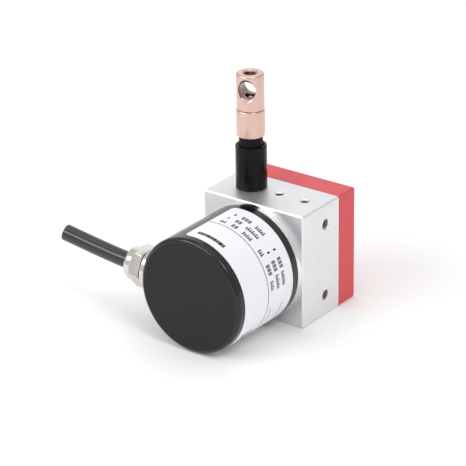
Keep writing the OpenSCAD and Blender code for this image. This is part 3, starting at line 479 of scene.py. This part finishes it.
def makeEye():
    e = eye
    low, high, radius = e["low"], e["high"], e["radius"]
    outline = [(e["wireBore"], e["spigotEnd"]), (e["spigot"] - e["spigotEdge"], e["spigotEnd"]),
               (e["spigot"], e["spigotEnd"] + e["spigotEdge"]), (e["spigot"], low)]
    outline += quarter(radius, low, e["foot"], -90, 6) + quarter(radius, high, e["crown"], 0)
    outline += [(e["thread"] + e["threadEdge"], high), (e["thread"], high - e["threadEdge"]),
                (e["thread"], e["crossLevel"]), (e["ballBore"], e["crossLevel"]),
                (e["ballBore"], e["ballFloor"]), (e["wireBore"], e["ballFloor"])]
    piece = lathe("wireEye", outline, wireLine, zWay)
    centre = wireLine + Vector((0, 0, e["crossLevel"] * mm))
    way = crossWay * mm
    across = way * e["crossReach"]
    combine(piece, rod("cross", centre - across, centre + across, e["cross"] * mm, 64))
    for side in (-1, 1):  # countersunk mouths of the cross bore
        inner = centre + way * side * (radius - e["sink"])
        outer = inner + way * side * e["sinkWider"]
        combine(piece, cone("mouth", inner, outer, e["cross"] * mm, (e["cross"] + e["sinkWider"]) * mm, 64))
    softenEdges(piece, e["soft"] * mm, 28)
    smooth(piece, 30)
    return piece


def dressEye(piece, plain, bore, darkestShade):  # painted shade: the cross bore's walls get a darker copper, and the wire and ball bores and the mouth on its shaded side a darker one still
    dress(piece, plain, bore, darkestShade)
    centre = wireLine + Vector((0, 0, eye["crossLevel"] * mm))
    aside, up = eye["shade"]
    shade = Vector((-aside * math.cos(eyeTurn), -aside * math.sin(eyeTurn), up))

    def slotOf(face):
        away = face.center - centre
        off = away - crossWay * away.dot(crossWay)
        inward = face.normal.dot(off.normalized()) < -0.3
        if inward and off.length < (eye["cross"] + eye["wallWithin"]) * mm:
            return 1
        if Vector((away.x, away.y)).length < eye["deepWithin"] * mm and abs(face.normal.z) < 0.9:
            return 2
        mouth = inward and off.length < eye["mouthWithin"] * mm
        return 2 if mouth and off.normalized().dot(shade) > -0.1 else 0

    for slot in (1, 2):
        pick(piece, "FACE", lambda face: slotOf(face) == slot)
        piece.active_material_index = slot
        bpy.ops.object.material_slot_assign()
        bpy.ops.object.mode_set(mode="OBJECT")


threadShape = {"root": 0.05, "flank": 0.42, "flat": 0.06, "steps": 40}


def threadCoil(name, start, way, radius, pitch, turns, depth):  # the crests inside a tapped hole
    way = Vector(way).normalized()
    root, half = radius + threadShape["root"], pitch * threadShape["flank"]
    tip, flat = radius - depth, threadShape["flat"]
    bpy.ops.mesh.primitive_plane_add(size=mm)
    coil = bpy.context.object
    coil.name = name
    for vertex, (r, h) in zip(coil.data.vertices, ((root, -half), (tip, -flat), (root, half), (tip, flat))):
        vertex.co = (r * mm, 0, h * mm)
    winding = coil.modifiers.new("winding", "SCREW")
    winding.angle, winding.screw_offset, winding.iterations = fullTurn, pitch * mm, turns
    winding.steps = winding.render_steps = threadShape["steps"]
    winding.use_merge_vertices = False
    applyModifier(coil, "winding")
    coil.matrix_world = Matrix.Translation(start) @ way.to_track_quat("Z", "Y").to_matrix().to_4x4()
    settle(coil)
    bpy.ops.object.mode_set(mode="EDIT")
    bpy.ops.mesh.select_all(action="SELECT")
    bpy.ops.mesh.remove_doubles(threshold=mergeWithin)
    bpy.ops.mesh.fill_holes(sides=4)
    bpy.ops.mesh.normals_make_consistent(inside=False)
    bpy.ops.object.mode_set(mode="OBJECT")
    smooth(coil, 30)
    return coil


outletNozzle, rubberStop, lowerSleeve, wireEye = makeNozzle(), makeStopper(), makeSleeve(), makeEye()
for piece, node, body, slot in ((outletNozzle, "wire_nozzle", "housing", "black_nozzle"),
                                (rubberStop, "rubber_stopper", "wire_end", "black_rubber"),
                                (lowerSleeve, "wire_sleeve", "wire_end", "copper_finish"),
                                (wireEye, "wire_eye", "eye", "copper_finish")):
    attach(piece, body)
    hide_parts(node)
foot, *coil = eye["coil"]
eyeThread = threadCoil("eyeThread", wireLine + Vector((0, 0, foot * mm)), zWay, eye["thread"], *coil)
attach(eyeThread, "eye")
print("wire outlet and eye made")


# threads in the mounting holes, each coil with its radius, pitch, turns and depth
holes = {"side": [(14.6, 2.8, 7.0), (14.6, 2.8, 32.0)], "sideCoil": (1.65, 0.7, 6, 0.24),
         "top": [(2.5, 1.115, 34.4), (12.5, 1.115, 34.4)], "topCoil": (1.25, 0.5, 8, 0.18)}
coils = [threadCoil("sideThread", Vector(p) * mm, (1, 0, 0), *holes["sideCoil"]) for p in holes["side"]]
coils += [threadCoil("topThread", Vector(p) * mm, zWay, *holes["topCoil"]) for p in holes["top"]]
holeThreads = joined("holeThreads", coils)
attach(holeThreads, "housing")
print("threads made")


# the drawn wire: six fine strands laid round a core
wire = {"radius": 0.2, "low": 19.5, "high": 68.35, "lay": 1.6, "strands": 6, "sides": 8,
        "steps": 12, "coreCuts": 60, "strandOver": 1.04, "coreOver": 1.02}


def makeWire():
    strand = wire["radius"] / 3
    length = wire["high"] - wire["low"]
    turns = math.ceil(length / wire["lay"])
    strands = []
    for i in range(wire["strands"]):
        angle = fullTurn * i / wire["strands"]
        place = Vector((math.cos(angle), math.sin(angle), 0)) * 2 * strand * mm
        bpy.ops.mesh.primitive_circle_add(vertices=wire["sides"], location=place,
                                          radius=strand * wire["strandOver"] * mm)
        piece = bpy.context.object
        settle(piece)
        winding = piece.modifiers.new("winding", "SCREW")
        winding.angle, winding.screw_offset, winding.iterations = fullTurn, length / turns * mm, turns
        winding.steps = winding.render_steps = wire["steps"]
        winding.use_merge_vertices = False
        applyModifier(piece, "winding")
        strands.append(piece)
    core = rod("core", (0, 0, 0), (0, 0, length * mm), strand * wire["coreOver"] * mm, wire["sides"])
    bpy.ops.object.mode_set(mode="EDIT")
    for i in range(1, wire["coreCuts"]):
        bpy.ops.mesh.select_all(action="SELECT")
        bpy.ops.mesh.bisect(plane_co=(0, 0, length * mm * i / wire["coreCuts"]), plane_no=(0, 0, 1))
    bpy.ops.object.mode_set(mode="OBJECT")
    rope = joined("measuringWire", [core] + strands)
    rope.location = wireLine + Vector((0, 0, wire["low"] * mm))
    settle(rope)
    bpy.ops.object.mode_set(mode="EDIT")
    bpy.ops.mesh.select_all(action="SELECT")
    bpy.ops.mesh.fill_holes(sides=wire["sides"])
    bpy.ops.mesh.normals_make_consistent(inside=False)
    bpy.ops.object.mode_set(mode="OBJECT")
    smooth(rope, 60)
    return rope


measuringWire = makeWire()
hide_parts("draw_wire")
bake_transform(measuringWire)
print("wire made")


# cable gland: a round flanged body and a hexagon nut with a domed collar
gland = {"seat": 20.2, "flange": 7.2, "flangeThick": 2.1, "flangeEdge": 0.4, "thread": 4.0, "start": 14.6,
         "socket": 4.6, "socketEnd": 23.9, "seal": 3.8, "sealEnd": 22.9, "inside": 3.1, "nut": 23.2,
         "hexLength": 4.2, "flats": 12.0, "turned": 25, "collar": 5.45, "dome": 1.5, "mouth": 30.7,
         "nutSocket": 4.65, "nutSocketEnd": 24, "nutInside": 4.15, "nutInsideEnd": 29.15, "bore": 2.9,
         "edge": 0.15, "cornersOver": 0.2, "nutFoot": 0.45, "nutCrown": 0.85, "hexagon": (22.2, 32),
         "soft": 0.12}


def makeGlandBody():
    g = gland
    outline = [(g["inside"], g["start"]), (g["thread"], g["start"]), (g["thread"], g["seat"]),
               (g["flange"] - g["edge"], g["seat"]), (g["flange"], g["seat"] + g["edge"])]
    outline += quarter(g["flange"], g["seat"] + g["flangeThick"], g["flangeEdge"], 0, 6)
    outline += [(g["socket"], g["seat"] + g["flangeThick"]), (g["socket"], g["socketEnd"]),
                (g["seal"], g["socketEnd"]), (g["inside"], g["sealEnd"])]
    return lathe("glandFlange", outline, glandAxis, glandWay, steps=80)


def makeGlandNut():
    g = gland
    way = Vector(glandWay)
    low, top = g["nut"], g["nut"] + g["hexLength"]
    flat = g["flats"] / 2
    corner, over = flat / math.cos(math.radians(30)), g["cornersOver"]
    outline = [(g["nutSocket"], low), (flat + over, low), (corner + over, low + g["nutFoot"]),
               (corner + over, top - g["nutCrown"]), (flat - over / 2, top), (g["collar"], top)]
    outline += quarter(g["collar"], g["mouth"], g["dome"], 0)
    outline += [(g["bore"], g["mouth"]), (g["bore"], g["nutInsideEnd"]),
                (g["nutInside"], g["nutInsideEnd"]), (g["nutInside"], g["nutSocketEnd"]),
                (g["nutSocket"], g["nutSocketEnd"])]
    nut = lathe("glandNut", outline, glandAxis, glandWay)
    hexagon = rod("hexagon", *(glandAxis + way * end * mm for end in g["hexagon"]), corner * mm, 6)
    choose(hexagon)
    bpy.ops.object.mode_set(mode="EDIT")
    bpy.ops.mesh.select_all(action="SELECT")
    bpy.ops.transform.rotate(value=math.radians(g["turned"]), orient_axis="X", center_override=glandAxis)
    bpy.ops.object.mode_set(mode="OBJECT")
    combine(nut, hexagon, "INTERSECT")
    softenEdges(nut, g["soft"] * mm, 25)
    smooth(nut, 30)
    return nut


glandFlange, glandNut = makeGlandBody(), makeGlandNut()
for piece, node in ((glandFlange, "gland_body"), (glandNut, "gland_nut")):
    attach(piece, "housing")
    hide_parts(node)
print("gland made")


# shared effects, built once: grain, lathe lines, smudges and worn edges
effects = {"smudgeScale": 140.0, "smudgeRough": 0.6, "smudgeSpan": (0.3, 0.7), "edgeSamples": 6,
           "edgeBreaks": 900.0, "edgeGain": 9.0}


def newGroup(name, inputs, outputs):  # an input is a number or a vector, as its value is
    group = bpy.data.node_groups.new(name, "ShaderNodeTree")
    for socket, value in inputs.items():
        kind = "NodeSocketFloat" if isinstance(value, (int, float)) else "NodeSocketVector"
        made = group.interface.new_socket(socket, in_out="INPUT", socket_type=kind)
        made.default_value = value
    for socket in outputs:
        group.interface.new_socket(socket, in_out="OUTPUT", socket_type="NodeSocketFloat")
    return group, group.nodes.new("NodeGroupInput").outputs, group.nodes.new("NodeGroupOutput").inputs


def link(tree, a, b):
    tree.links.new(a, b)


def mathNode(tree, operation, a, b):
    node = tree.nodes.new("ShaderNodeMath")
    node.operation = operation
    for socket, value in zip(node.inputs, (a, b)):
        if isinstance(value, (int, float)):
            socket.default_value = value
        else:
            link(tree, value, socket)
    return node.outputs[0]


def vectorNode(tree, operation, *vectors):
    node = tree.nodes.new("ShaderNodeVectorMath")
    node.operation = operation
    for socket, vector in zip(node.inputs, vectors):
        link(tree, vector, socket)
    return node.outputs["Value" if operation in ("DOT_PRODUCT", "LENGTH") else "Vector"]


def noiseNode(tree, detail, **links):
    noise = tree.nodes.new("ShaderNodeTexNoise")
    noise.noise_dimensions = "1D" if "W" in links else "3D"
    noise.inputs["Detail"].default_value = detail
    for name, value in links.items():
        link(tree, value, noise.inputs[name])
    return noise


def makeGrainGroup():  # stretched noise: blasted, brushed or moulded grain
    group, start, end = newGroup("grain", {"Vector": (0, 0, 0), "Stretch": (1, 1, 1), "Scale": 2000.0},
                                 ["Height"])
    stretch = vectorNode(group, "MULTIPLY", start["Vector"], start["Stretch"])
    noise = noiseNode(group, 3, Vector=stretch, Scale=start["Scale"])
    link(group, noise.outputs["Fac"], end["Height"])
    return group


def makeLatheGroup():  # fine rings left by turning, by distance along and from an axis
    group, start, end = newGroup("latheLines", {"Vector": (0, 0, 0), "Centre": (0, 0, 0), "Axis": (0, 0, 1),
                                                "Scale": 9000.0}, ["Height"])
    away = vectorNode(group, "SUBTRACT", start["Vector"], start["Centre"])
    along = vectorNode(group, "DOT_PRODUCT", away, start["Axis"])
    reach = vectorNode(group, "LENGTH", vectorNode(group, "CROSS_PRODUCT", away, start["Axis"]))
    noise = noiseNode(group, 2, W=mathNode(group, "ADD", along, reach), Scale=start["Scale"])
    link(group, noise.outputs["Fac"], end["Height"])
    return group


def makeSmudgeGroup():  # slow changes of gloss and tone
    group, start, end = newGroup("smudges", {"Vector": (0, 0, 0), "Scale": effects["smudgeScale"],
                                             "Low": 0.3, "High": 0.45}, ["Value", "Mask"])
    broad = noiseNode(group, 4, Vector=start["Vector"], Scale=start["Scale"])
    broad.inputs["Roughness"].default_value = effects["smudgeRough"]
    span = group.nodes.new("ShaderNodeMapRange")
    span.inputs["From Min"].default_value, span.inputs["From Max"].default_value = effects["smudgeSpan"]
    link(group, broad.outputs["Fac"], span.inputs["Value"])
    link(group, start["Low"], span.inputs["To Min"])
    link(group, start["High"], span.inputs["To Max"])
    link(group, span.outputs["Result"], end["Value"])
    link(group, broad.outputs["Fac"], end["Mask"])
    return group


def makeEdgeGroup():  # how near a sharp edge is: the bevelled normal against the flat one
    group, start, end = newGroup("wornEdges", {"Vector": (0, 0, 0), "Width": 0.0003,
                                               "Breaks": effects["edgeBreaks"]}, ["Mask"])
    bevel = group.nodes.new("ShaderNodeBevel")
    bevel.samples = effects["edgeSamples"]
    link(group, start["Width"], bevel.inputs["Radius"])
    flat = group.nodes.new("ShaderNodeNewGeometry")
    match = vectorNode(group, "DOT_PRODUCT", bevel.outputs["Normal"], flat.outputs["Normal"])
    noise = noiseNode(group, 3, Vector=start["Vector"], Scale=start["Breaks"])
    strong = mathNode(group, "MULTIPLY", mathNode(group, "SUBTRACT", 1.0, match), effects["edgeGain"])
    broken = mathNode(group, "MULTIPLY", strong, noise.outputs["Fac"])
    mask = group.nodes.new("ShaderNodeClamp")
    link(group, broken, mask.inputs["Value"])
    link(group, mask.outputs[0], end["Mask"])
    return group


grainGroup, latheGroup, smudgeGroup, edgeGroup = (makeGrainGroup(), makeLatheGroup(), makeSmudgeGroup(),
                                                  makeEdgeGroup())


# finishes: each has its own colours and amounts, and shares the effects above
def addGroup(tree, group, **values):
    node = tree.nodes.new("ShaderNodeGroup")
    node.node_tree = group
    for name, value in values.items():
        node.inputs[name].default_value = value
    return node


def mixColour(tree, mask, first, second):
    mix = tree.nodes.new("ShaderNodeMix")
    mix.data_type = "RGBA"
    sockets = [s for s in mix.inputs if s.type == "RGBA"]
    for socket, colour in zip(sockets, (first, second)):
        if hasattr(colour, "links"):
            link(tree, colour, socket)
        else:
            socket.default_value = (*colour, 1)
    link(tree, mask, mix.inputs["Factor"])
    return [s for s in mix.outputs if s.type == "RGBA"][0]


evenly = (1, 1, 1)
finishBase = {"darker": 0.86, "reliefDepth": 0.02}


def makeFinish(name, colour, tone=None, *, gloss, metallic=0.0, worn=None, wear=0.0, grain=None, lathe=None,
               bump=0.0, coat=0.0, coatRough=0.1, specular=0.5):
    material = bpy.data.materials.new(name)
    material.use_nodes = True
    tree = material.node_tree
    shader = tree.nodes["Principled BSDF"]
    place = tree.nodes.new("ShaderNodeTexCoord").outputs["Object"]
    smudges = addGroup(tree, smudgeGroup, Low=gloss[0], High=gloss[1])
    link(tree, place, smudges.inputs["Vector"])
    link(tree, smudges.outputs["Value"], shader.inputs["Roughness"])
    second = tone or tuple(c * finishBase["darker"] for c in colour)
    paint = mixColour(tree, smudges.outputs["Mask"], colour, second)
    if worn:
        edges = addGroup(tree, edgeGroup, Width=wear)
        link(tree, place, edges.inputs["Vector"])
        paint = mixColour(tree, edges.outputs["Mask"], paint, worn)
    link(tree, paint, shader.inputs["Base Color"])
    if grain:
        scale, stretch = grain
        lines = addGroup(tree, grainGroup, Scale=scale, Stretch=stretch)
    if lathe:
        centre, axis, scale = lathe
        lines = addGroup(tree, latheGroup, Centre=tuple(centre), Axis=tuple(axis), Scale=scale)
    if grain or lathe:
        link(tree, place, lines.inputs["Vector"])
        relief = tree.nodes.new("ShaderNodeBump")
        relief.inputs["Strength"].default_value = bump
        relief.inputs["Distance"].default_value = finishBase["reliefDepth"] * mm
        link(tree, lines.outputs["Height"], relief.inputs["Height"])
        link(tree, relief.outputs["Normal"], shader.inputs["Normal"])
    for socket, value in (("Metallic", metallic), ("Coat Weight", coat), ("Coat Roughness", coatRough),
                          ("Specular IOR Level", specular)):
        shader.inputs[socket].default_value = value
    return material


def dress(piece, *materials):
    piece.data.materials.clear()
    for material in materials:
        piece.data.materials.append(material)


# the milled finish's bright worn edges are partly wear and partly a painted highlight along the chamfers
milled = makeFinish(
    "satin milled aluminium", (0.83, 0.835, 0.845), (0.78, 0.785, 0.795), worn=(0.97, 0.97, 0.98),
    wear=0.0004, metallic=1.0, gloss=(0.44, 0.52), grain=(5200, evenly), bump=0.12)
# painted shade: the threads inside the mounting holes are a dark grey metal, darker than the block, for the
# shade inside the holes
holeShadeThread = makeFinish(
    "thread with painted hole shade", (0.30, 0.30, 0.31), (0.22, 0.22, 0.23), metallic=1.0, gloss=(0.25, 0.4),
    grain=(6000, evenly), bump=0.1)
redAnodised = makeFinish(
    "red anodised cover", (0.70, 0.085, 0.10), (0.66, 0.075, 0.09), worn=(0.80, 0.22, 0.24), wear=0.00025,
    metallic=0.3, gloss=(0.36, 0.46), grain=(4800, evenly), bump=0.1, specular=0.3)
blackPaint = makeFinish(
    "black enamel", (0.004, 0.004, 0.0045), (0.006, 0.006, 0.007), gloss=(0.16, 0.24),
    grain=(2600, evenly), bump=0.04, specular=0.5)
mattPaint = makeFinish(
    "matt black front", (0.013, 0.0135, 0.0145), (0.015, 0.0155, 0.0165), gloss=(0.5, 0.6),
    grain=(3200, evenly), bump=0.06, specular=0.25)
blackNozzle = makeFinish(
    "black turned plastic", (0.003, 0.003, 0.0035), (0.005, 0.005, 0.0055), gloss=(0.16, 0.24),
    lathe=(wireLine, zWay, 7000), bump=0.06, specular=0.14)
blackRubber = makeFinish(
    "black rubber", (0.005, 0.005, 0.005), (0.008, 0.008, 0.008), gloss=(0.5, 0.65), grain=(3800, evenly),
    bump=0.2, specular=0.15)
jacketBlack = makeFinish(
    "cable jacket", (0.009, 0.009, 0.011), (0.014, 0.014, 0.017), gloss=(0.24, 0.3),
    grain=(3000, (0.15, 1, 1)), bump=0.08, coat=0.25, coatRough=0.25, specular=0.6)
copperTone = makeFinish(
    "satin copper finish", (0.74, 0.52, 0.45), (0.68, 0.47, 0.40), worn=(0.94, 0.78, 0.70), wear=0.00025,
    metallic=1.0, gloss=(0.24, 0.34), lathe=(wireLine, zWay, 6000), bump=0.1)
# painted shade: a darker copper for the cross bore's walls and the eye's thread, and a still darker one for
# the deep bores and one side of the mouth
boreShadeCopper = makeFinish(
    "drilled copper finish", (0.42, 0.30, 0.25), (0.32, 0.22, 0.18), metallic=1.0, gloss=(0.3, 0.45),
    lathe=(wireLine + Vector((0, 0, eye["crossLevel"] * mm)), crossWay, 2600), bump=0.25)
deepShadeCopper = makeFinish(
    "shaded copper finish", (0.17, 0.105, 0.085), (0.11, 0.07, 0.055), metallic=1.0, gloss=(0.3, 0.45),
    grain=(5000, evenly), bump=0.08)
nickel = makeFinish(
    "nickel plate", (0.74, 0.72, 0.67), (0.66, 0.64, 0.59), worn=(0.93, 0.91, 0.87), wear=0.0003,
    metallic=1.0, gloss=(0.14, 0.24), lathe=(glandAxis, glandWay, 3500), bump=0.08)
brightRing = makeFinish(
    "bright turned aluminium", (0.86, 0.87, 0.88), (0.80, 0.81, 0.83), metallic=1.0, gloss=(0.16, 0.24),
    lathe=(drumAxis, yWay, 5000), bump=0.12)
labelWhite = makeFinish(
    "label film", (0.87, 0.87, 0.91), (0.85, 0.85, 0.89), gloss=(0.36, 0.44), grain=(2500, evenly),
    bump=0.04)
printInk = makeFinish(
    "label print", (0.010, 0.010, 0.014), (0.018, 0.018, 0.024), gloss=(0.45, 0.55), specular=0.3)
darkSteel = makeFinish(
    "black oxide steel", (0.06, 0.06, 0.065), (0.09, 0.09, 0.095), worn=(0.4, 0.4, 0.4), wear=0.00015,
    metallic=0.9, gloss=(0.35, 0.5), grain=(4000, evenly), bump=0.1)
plainSteel = makeFinish(
    "turned steel", (0.56, 0.56, 0.57), (0.48, 0.48, 0.5), metallic=1.0, gloss=(0.25, 0.36),
    grain=(5000, evenly), bump=0.08)
springSteel = makeFinish(
    "blued spring strip", (0.16, 0.20, 0.29), (0.24, 0.25, 0.30), metallic=1.0, gloss=(0.25, 0.4),
    grain=(1500, (0.2, 3, 0.2)), bump=0.1)
bearingSteel = makeFinish(
    "ground bearing steel", (0.72, 0.73, 0.75), (0.66, 0.67, 0.69), metallic=1.0, gloss=(0.1, 0.2),
    lathe=(drumAxis, yWay, 6000), bump=0.05)
ceramic = makeFinish(
    "sintered ceramic", (0.80, 0.78, 0.72), (0.75, 0.73, 0.66), gloss=(0.25, 0.4), grain=(4000, evenly),
    bump=0.08)
brassMade = makeFinish(
    "turned brass", (0.72, 0.53, 0.24), (0.62, 0.44, 0.19), metallic=1.0, gloss=(0.22, 0.36),
    lathe=(drumAxis, yWay, 6000), bump=0.1)
mouldedBlack = makeFinish(
    "moulded black plastic", (0.02, 0.02, 0.022), (0.03, 0.03, 0.033), gloss=(0.4, 0.55),
    grain=(4200, evenly), bump=0.15)
mouldedWhite = makeFinish(
    "moulded white plastic", (0.78, 0.78, 0.74), (0.72, 0.72, 0.68), gloss=(0.35, 0.5),
    grain=(4200, evenly), bump=0.1)
boardGreen = makeFinish(
    "green board", (0.02, 0.16, 0.07), (0.03, 0.22, 0.10), gloss=(0.25, 0.4), grain=(2600, (1, 0.1, 4)),
    bump=0.2)
discMetal = makeFinish(
    "etched disc", (0.6, 0.64, 0.68), (0.52, 0.56, 0.60), metallic=1.0, gloss=(0.15, 0.3),
    lathe=(drumAxis, yWay, 8000), bump=0.05)
ropeSteel = makeFinish(
    "stainless wire rope", (0.55, 0.55, 0.56), (0.42, 0.42, 0.43), metallic=1.0, gloss=(0.25, 0.4),
    grain=(6000, evenly), bump=0.1)
clearLens = makeFinish("clear lens", (0.7, 0.8, 0.9), (0.65, 0.76, 0.88), gloss=(0.08, 0.15))
copperStrand = makeFinish(
    "bare copper", (0.80, 0.42, 0.26), (0.7, 0.34, 0.2), metallic=1.0, gloss=(0.25, 0.4),
    grain=(6000, evenly), bump=0.1)
wrapFilm = makeFinish(
    "core wrap film", (0.75, 0.75, 0.76), (0.66, 0.66, 0.68), metallic=0.6, gloss=(0.3, 0.5),
    grain=(2500, evenly), bump=0.2)
coreColours = {"brown": (0.13, 0.05, 0.025), "grey": (0.25, 0.25, 0.27), "red": (0.55, 0.03, 0.03),
               "green": (0.03, 0.28, 0.08), "yellow": (0.75, 0.55, 0.04), "black": (0.02, 0.02, 0.022)}
coreFinish = {name: makeFinish("core insulation " + name, colour, gloss=(0.35, 0.5), grain=(4000, evenly),
                               bump=0.1) for name, colour in coreColours.items()}

dress(cableJacket, jacketBlack)
for piece in cableInside:
    kind, _, colour = piece.name.partition("-")
    dress(piece, {"coreWrap": wrapFilm, "copper": copperStrand}.get(kind) or coreFinish[colour])
dressCup(encoderCup, blackPaint, mattPaint)
dress(labelSheet, labelWhite)
dress(labelPrint, printInk)
dress(outletNozzle, blackNozzle)
dress(rubberStop, blackRubber)
dress(lowerSleeve, copperTone)
dressEye(wireEye, copperTone, boreShadeCopper, deepShadeCopper)
dress(eyeThread, boreShadeCopper)
dress(holeThreads, holeShadeThread)
dress(measuringWire, ropeSteel)
dress(glandFlange, nickel)
dress(glandNut, nickel)

nodeFinish = {
    "drum_housing": milled, "rear_cover": redAnodised, "cover_gasket": blackRubber,
    "cover_screws": darkSteel, "bearing_plate": milled, "plate_screws": plainSteel,
    "power_spring": springSteel, "spring_anchor": plainSteel, "wire_drum": milled,
    "wound_wire": ropeSteel, "drum_shaft": plainSteel, "spring_arbor": brassMade,
    "drum_set_screws": darkSteel, "bearing_outer_rings": bearingSteel,
    "bearing_inner_rings": bearingSteel, "bearing_balls": bearingSteel, "shaft_circlips": darkSteel,
    "wire_nozzle": blackNozzle, "wire_guide": ceramic, "draw_wire": ropeSteel, "wire_ferrule": plainSteel,
    "rubber_stopper": blackRubber, "wire_sleeve": copperTone, "wire_eye": copperTone,
    "encoder_flange": brightRing, "flange_screws": plainSteel, "cover_seal": blackRubber,
    "encoder_cover": blackPaint, "encoder_label": labelWhite, "encoder_shaft": plainSteel,
    "disc_hub": brassMade, "code_disc": discMetal, "board_posts": brassMade, "board_screws": plainSteel,
    "emitter_holder": mouldedBlack, "emitter": clearLens, "sensor_head": mouldedBlack,
    "circuit_board": boardGreen, "board_chips": mouldedBlack, "board_capacitors": mouldedBlack,
    "cable_connector": mouldedWhite, "gland_body": nickel, "gland_seal": blackRubber,
    "gland_insert": blackRubber, "gland_nut": nickel, "gland_lock_nut": nickel,
    "signal_cable": jacketBlack, "cable_cores": coreFinish["yellow"]}
for name, material in nodeFinish.items():
    dress(nodes[name], material)
print("finishes made")


# floor and light
studio = {"floor": 6.0, "floorTone": (0.96, 0.96, 0.96), "floorRough": 0.9, "world": 0.68,
          "lights": [  # place, aim, width and height, power, tone
              ((-0.40, -0.73, 0.64), (0.0, -0.01, 0.02), (0.85, 0.3), 4.0, (1.0, 0.99, 0.98)),
              ((0.55, -0.25, 0.75), (0.0, 0.0, 0.02), (0.25, 0.25), 1.5, (1.0, 1.0, 1.0)),
              ((-0.45, 0.80, 0.45), (0.0, 0.0, 0.03), (0.8, 0.8), 0.9, (1.0, 1.0, 1.0)),
              ((0.0, 0.0, 1.10), (0.0, 0.0, 0.0), (0.8, 0.8), 1.8, (1.0, 1.0, 1.0))]}


def setStudio():
    bpy.ops.mesh.primitive_plane_add(size=studio["floor"], location=(0, 0, 0))
    floor = bpy.context.object
    floor.name = "floor"
    paper = bpy.data.materials.new("paper floor")
    paper.use_nodes = True
    paper.node_tree.nodes["Principled BSDF"].inputs["Base Color"].default_value = (*studio["floorTone"], 1)
    paper.node_tree.nodes["Principled BSDF"].inputs["Roughness"].default_value = studio["floorRough"]
    floor.data.materials.append(paper)
    world = bpy.data.worlds.new("studio")
    bpy.context.scene.world = world
    world.use_nodes = True
    world.node_tree.nodes["Background"].inputs["Color"].default_value = (1, 1, 1, 1)
    world.node_tree.nodes["Background"].inputs["Strength"].default_value = studio["world"]
    for place, aim, size, power, tone in studio["lights"]:
        bpy.ops.object.light_add(type="AREA", location=place)
        lamp = bpy.context.object
        lamp.data.shape = "RECTANGLE"
        lamp.data.size, lamp.data.size_y = size
        lamp.data.energy, lamp.data.color = power, tone
        lamp.rotation_euler = (Vector(place) - Vector(aim)).to_track_quat("Z", "Y").to_euler()
    bpy.context.scene.view_settings.view_transform = "Standard"


setStudio()
print("studio set")
